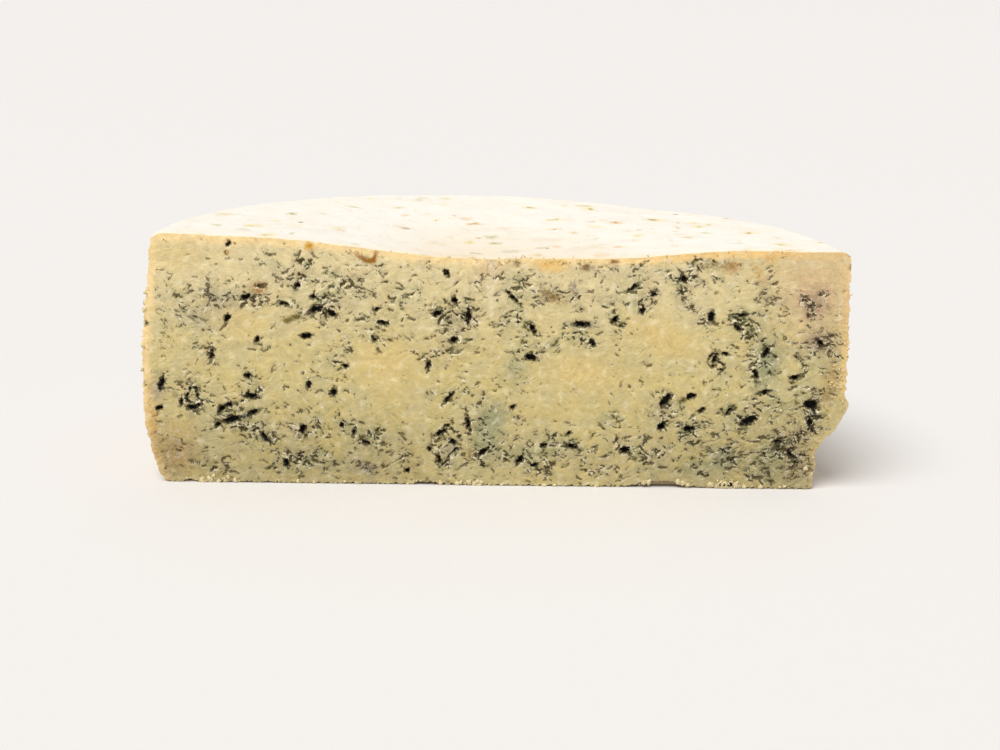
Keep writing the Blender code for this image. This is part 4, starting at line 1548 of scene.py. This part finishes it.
@dataclass(frozen=True)
class Relief:
    """How rough the surfaces are, in millimetres. The tree has an input for each but the last few.

    Those are shares: where a noise counts as flat, and where the relief of the rind begins and fades.
    """

    gap_depth: Number = 0.8
    curd_size: Number = 2.2
    curd_depth: Number = 0.22
    pocket_depth: Number = 1.9
    smear_depth: Number = 0.3
    grain_depth: Number = 0.2
    hold: Number = 2.6
    knob_size: Number = 13.0
    knob_height: Number = 0.5
    crumb_size: Number = 3.6
    crumb_height: Number = 1.2
    rind_size: Number = 2.4
    rind_height: Number = 0.16
    tooth_size: Number = 1.3
    tooth_height: Number = 2.2
    chip_hold: Number = 3.5
    edge_size: Number = 2.2
    edge_depth: Number = 0.9
    edge_hold: Number = 1.6
    knob_flat: ClassVar[float] = 0.62
    rind_flat: ClassVar[float] = 0.6
    crumb_flat: ClassVar[float] = 0.62
    tooth_flat: ClassVar[float] = 0.42
    edge_flat: ClassVar[float] = 0.4
    edge_squash: ClassVar[float] = 0.2
    rim_from: ClassVar[float] = 0.55
    break_fade: ClassVar[float] = 1.2


class HalfWheel:
    """The half wheel of cheese: its shape, its relief and its finishes."""

    def __init__(self, low: Vector, high: Vector) -> None:
        """Keep the corners of the CAD node's box, which the piece stays inside."""
        self.low = low
        self.high = high
        self.sizes = WheelSizes()
        self.cut_face = CutFace()
        self.gaps = Flecks()
        self.inputs = labelled(self.sizes, Relief())
        self.axis_x = -1.0 * MM
        self.cut_offset = 0.4 * MM
        self.top_shift = Vector((90.0, 40.0, 7.0))

    def tree(self, paste: bpy.types.Material, rind: bpy.types.Material) -> bpy.types.NodeTree:
        """Return the tree that shapes the plain half wheel."""
        tree, bench, wires = new_tree("shape_half_wheel", self.inputs)
        plain = Arrow(bench, bench.node("GeometryNodeInputPosition").outputs[0])
        place = self.shaped(bench, plain, wired(WheelSizes, wires), wired(Relief, wires))
        moved = bench.node("GeometryNodeSetPosition", inputs={
            "Geometry": wires["Geometry"], "Position": place})
        whole = bench.node("GeometryNodeRealizeInstances", inputs={0: moved.outputs[0]})
        dressed = bench.node("GeometryNodeSetMaterial", inputs={0: whole.outputs[0], "Material": rind})
        side = bench.node("GeometryNodeInputNamedAttribute", {"data_type": "INT"}, {"Name": "side"})
        number = Wire(bench, Bench.find(side.outputs, "Attribute"))
        is_cut = bench.math("COMPARE", number, float(Side.CUT.value))
        cut = bench.node("GeometryNodeSetMaterial", inputs={
            0: dressed.outputs[0], "Selection": is_cut, "Material": paste})
        bench.node("NodeGroupOutput", inputs={0: cut.outputs[0]})
        return tree

    def shaped(self, bench: Bench, plain: Arrow, sizes: WheelSizes, rough: Relief) -> Arrow:
        """Return where each point of the plain half wheel goes."""
        x, y, z = plain.parts()
        radius = bench.math("SQRT", x * x + y * y)
        cosine = x / most(radius, TINY)
        sine = y / most(radius, TINY)
        edge = smooth_step(rough.rim_from, 1.0, radius / sizes.belly_radius)
        spread = sizes.side_radius(cosine, z) / sizes.belly_radius
        round_x, round_y = x * spread, y * spread
        height = z * sizes.top_height(round_x, round_y) / sizes.rim_height
        place_mm = bench.join(round_x / MM, round_y / MM, height / MM)

        x_mm, _, z_mm = place_mm.parts()
        behind = round_y / MM
        broken_to = sizes.broken_to
        broken = sizes.broken(cosine) * (1.0 - smooth_step(broken_to, rough.break_fade * broken_to, z))
        crumbly = bench.noise(place_mm, rough.crumb_size, detail=3.0, roughness=0.6) - rough.crumb_flat
        crumbly = crumbly * broken * rough.crumb_height * 2.0
        squashed = bench.join(x_mm * rough.edge_squash, 0.0, z_mm)
        ends = bench.noise(squashed, rough.edge_size, detail=3.0, roughness=0.65)
        torn = most(ends - rough.edge_flat, 0.0) * 4.0 * rough.edge_depth * exp(-behind / rough.edge_hold)
        torn = torn * bench.math("ABSOLUTE", cosine)
        out = (self.rind_relief(bench, place_mm, rough) + crumbly - torn) * edge * MM
        lifted = smooth_step(0.0, sizes.rim_height, z)
        up = self.rind_relief(bench, place_mm + self.top_shift, rough) * lifted * MM

        inward = self.face_relief(bench, x_mm, z_mm, rough) * exp(-behind / rough.hold) * MM
        teeth = bench.noise(bench.join(x_mm, 0.0, 0.0), rough.tooth_size, detail=3.0, roughness=0.6)
        ragged = most(teeth - rough.tooth_flat, 0.0) * 2.0 * rough.tooth_height
        near = clamped(1.0 - z_mm / rough.chip_hold) * clamped(1.0 - behind / rough.chip_hold)
        chipped = (self.cut_face.lift(x_mm) + ragged) * near * near * MM

        along = round_x + cosine * out + self.axis_x
        stretch = 1.0 + self.cut_offset / (self.high.y - self.low.y)
        back = round_y * stretch + sine * out + inward + self.low.y
        return held(bench, (along, back, height + up + chipped), self.low, self.high)

    @staticmethod
    def rind_relief(bench: Bench, place_mm: Arrow, rough: Relief) -> Wire:
        """Return how far the rind stands out, in millimetres: broad lumps and fine pits."""
        broad = bench.noise(place_mm, rough.knob_size) - rough.knob_flat
        fine = bench.noise(place_mm, rough.rind_size, detail=3.0, roughness=0.6) - rough.rind_flat
        return broad * 2.0 * rough.knob_height + fine * 2.0 * rough.rind_height

    def face_relief(self, bench: Bench, x_mm: Wire, z_mm: Wire, rough: Relief) -> Wire:
        """Return how deep the cut face is at each place, in millimetres."""
        flat = bench.join(x_mm, 0.0, z_mm)
        gap = self.gaps.inside(bench, x_mm, z_mm, bench.attribute("veining"))
        rim = smooth_step(0.0, 1.5, bench.attribute("rind_gap")) * smooth_step(0.0, 1.0, z_mm)
        gap_depth = smooth_step(-0.45, 0.3, gap) * rough.gap_depth
        curd = bench.noise(flat, rough.curd_size, detail=3.0, roughness=0.6) * rough.curd_depth
        hollow = smooth_step(-0.25, 0.75, self.gaps.pocket(bench, x_mm, z_mm)) * rough.pocket_depth
        smear = self.gaps.smear(bench, x_mm, z_mm) * rough.smear_depth
        grain = bench.noise(flat, self.gaps.grain_size) * rough.grain_depth
        return (gap_depth + hollow) * rim + smear + grain + curd

    def build(self) -> bpy.types.Object:
        """Return the finished piece."""
        paste = PasteFinish(self.gaps, axis_x=self.axis_x / MM).build()
        rind = RindFinish().build()
        blank = BlankWheel(self.sizes, self.cut_face).build()
        piece = grown("half_wheel", blank, self.tree(paste, rind), self.inputs)
        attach(piece, BODY)
        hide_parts(NODE)
        LOG.info("%s: %d triangles", piece.name, len(piece.data.polygons))
        return piece


# ---------------------------------------------------------------- crumbs and frays


@dataclass(frozen=True)
class ScatterSizes:
    """The inputs of a scatter's tree. Lengths are metres, and turns are radians."""

    per_area: Number
    smallest: Number
    largest: Number
    stretch: Number
    wildness: Number
    roughness: Number
    grain: Number


@dataclass(frozen=True)
class Scatter:
    """Small things of one kind, scattered over the half wheel by the map of their name on its mesh."""

    name: str
    sizes: ScatterSizes
    finish: CrumbFinish
    seed: int

    def tree(self, low: Vector, high: Vector) -> bpy.types.NodeTree:
        """Return the tree that scatters them, and holds them inside a box."""
        tree, bench, wires = new_tree(f"scatter_{self.name}", labelled(self.sizes))
        size = wired(ScatterSizes, wires)
        points = bench.node("GeometryNodeDistributePointsOnFaces", inputs={
            "Mesh": wires["Geometry"], "Density": bench.attribute(self.name) * size.per_area,
            "Seed": self.seed})
        wild = size.wildness
        turn = bench.node("FunctionNodeRandomValue", {"data_type": "FLOAT_VECTOR"}, {
            "Min": bench.join(-wild, -wild, -math.pi), "Max": bench.join(wild, wild, math.pi),
            "Seed": self.seed + 1})
        turned = bench.node("FunctionNodeRotateRotation", {"rotation_space": "LOCAL"}, {
            0: points.outputs["Rotation"],
            1: bench.node("FunctionNodeEulerToRotation", inputs={0: turn.outputs[0]}).outputs[0]})
        drawn = bench.node("FunctionNodeRandomValue", {"data_type": "FLOAT"}, {"Seed": self.seed + 2})
        share = Wire(bench, bench.find(drawn.outputs, "Value_001"))
        width = mix(size.smallest, size.largest, share * share)
        lump = bench.node("GeometryNodeMeshIcoSphere", inputs={"Radius": 1.0, "Subdivisions": 2})
        placed = bench.node("GeometryNodeInstanceOnPoints", inputs={
            "Points": points.outputs["Points"], "Instance": lump.outputs["Mesh"],
            "Rotation": turned.outputs[0], "Scale": bench.join(width, width, width * size.stretch)})
        whole = bench.node("GeometryNodeRealizeInstances", inputs={0: placed.outputs[0]})
        place = Arrow(bench, bench.node("GeometryNodeInputPosition").outputs[0])
        rough = bench.noise_vector(place * (1.0 / size.grain), size=1.0, detail=2.0) * (2.0 * size.roughness)
        moved = bench.node("GeometryNodeSetPosition", inputs={
            "Geometry": whole.outputs[0], "Position": held(bench, (place + rough).parts(), low, high)})
        smooth = bench.node("GeometryNodeSetShadeSmooth", inputs={0: moved.outputs[0]})
        dressed = bench.node("GeometryNodeSetMaterial", inputs={
            0: smooth.outputs[0], "Material": self.finish.build(self.name)})
        bench.node("NodeGroupOutput", inputs={0: dressed.outputs[0]})
        return tree

    def build(self, ground: bpy.types.Object, low: Vector, high: Vector) -> bpy.types.Object:
        """Return the finished piece.

        Args:
            ground: The half wheel.
            low: The low corner of the box that it stays inside.
            high: The high corner.

        Returns:
            The piece.
        """
        piece = grown(self.name, ground.data.copy(), self.tree(low, high), labelled(self.sizes))
        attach(piece, BODY)
        LOG.info("%s: %d triangles", piece.name, len(piece.data.polygons))
        return piece


PER_SQUARE_MM = 1e6
SCATTERS = (
    Scatter("crumbs", ScatterSizes(
        per_area=PER_SQUARE_MM, smallest=0.12 * MM, largest=0.8 * MM, stretch=1.2, wildness=math.pi,
        roughness=0.9 * MM, grain=0.5 * MM), CrumbFinish(), seed=3),
    Scatter("frays", ScatterSizes(
        per_area=PER_SQUARE_MM, smallest=0.08 * MM, largest=0.2 * MM, stretch=7.0, wildness=0.7,
        roughness=0.1 * MM, grain=0.6 * MM), CrumbFinish(pale=tone(232, 208, 160)), seed=13),
)


# ---------------------------------------------------------------- the studio


@dataclass(frozen=True)
class Studio:
    """The pale floor, the soft light and the camera."""

    floor_half: float = 60.0
    sky: Colour = (1.0, 0.99, 0.98, 1.0)
    sky_strength: float = 0.52
    key_strength: float = 2.7
    key_spread: float = math.radians(38.0)
    key_from: Vector = Vector((-0.32, -0.44, 1.0))
    camera_place: Vector = Vector((-11.8, -469.7, 149.4)) * MM
    focal_pixels: float = 1450.0
    image_width: float = 1000.0
    sensor: float = 36.0
    pitch: float = math.radians(15.34)
    roll: float = math.radians(1.28)
    yaw: float = math.radians(1.70)

    def build(self) -> None:
        """Set up the floor, light and camera."""
        self.lay_floor()
        self.light()
        self.set_camera()

    def lay_floor(self) -> None:
        """Lay the floor under the cheese."""
        mesh = bpy.data.meshes.new("floor")
        half = self.floor_half
        corners = [(x * half, y * half, 0.0) for x, y in ((-1, -1), (1, -1), (1, 1), (-1, 1))]
        mesh.from_pydata(corners, [], [(0, 1, 2, 3)])
        mesh.materials.append(FloorFinish().build())
        floor = bpy.data.objects.new("floor", mesh)
        bpy.context.scene.collection.objects.link(floor)

    def light(self) -> None:
        """Light the scene with a pale sky and one broad soft sun."""
        world = bpy.data.worlds.new("studio")
        world.use_nodes = True
        sky = world.node_tree.nodes["Background"]
        sky.inputs["Color"].default_value = self.sky
        sky.inputs["Strength"].default_value = self.sky_strength
        bpy.context.scene.world = world
        key = bpy.data.lights.new("key", "SUN")
        key.energy = self.key_strength
        key.angle = self.key_spread
        lamp = bpy.data.objects.new("key", key)
        lamp.rotation_mode = "QUATERNION"
        lamp.rotation_quaternion = self.key_from.to_track_quat("Z", "Y")
        bpy.context.scene.collection.objects.link(lamp)
        bpy.context.scene.view_settings.view_transform = "Standard"

    def set_camera(self) -> None:
        """Put the camera where the picture was taken from."""
        ahead = Vector((math.sin(self.yaw) * math.cos(self.pitch),
                        math.cos(self.yaw) * math.cos(self.pitch), -math.sin(self.pitch)))
        level = Vector((math.cos(self.yaw), -math.sin(self.yaw), 0.0))
        upright = level.cross(ahead)
        right = math.cos(self.roll) * level + math.sin(self.roll) * upright
        up = math.cos(self.roll) * upright - math.sin(self.roll) * level
        turn = Matrix((right, up, -ahead)).transposed().to_4x4()
        data = bpy.data.cameras.new("camera")
        data.sensor_width = self.sensor
        data.lens = self.focal_pixels / self.image_width * self.sensor
        camera = bpy.data.objects.new("camera", data)
        camera.matrix_world = Matrix.Translation(self.camera_place) @ turn
        bpy.context.scene.collection.objects.link(camera)
        bpy.context.scene.camera = camera


def main() -> None:
    """Load the frame, build the cheese round it and set up the studio."""
    logging.basicConfig(level=logging.INFO, format="%(message)s")
    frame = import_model()
    LOG.info("frame: %s", ", ".join(sorted(frame)))
    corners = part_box(NODE)
    half_wheel = HalfWheel(*corners).build()
    for scatter in SCATTERS:
        scatter.build(half_wheel, *corners)
    Studio().build()


if __name__ == "__main__":
    main()
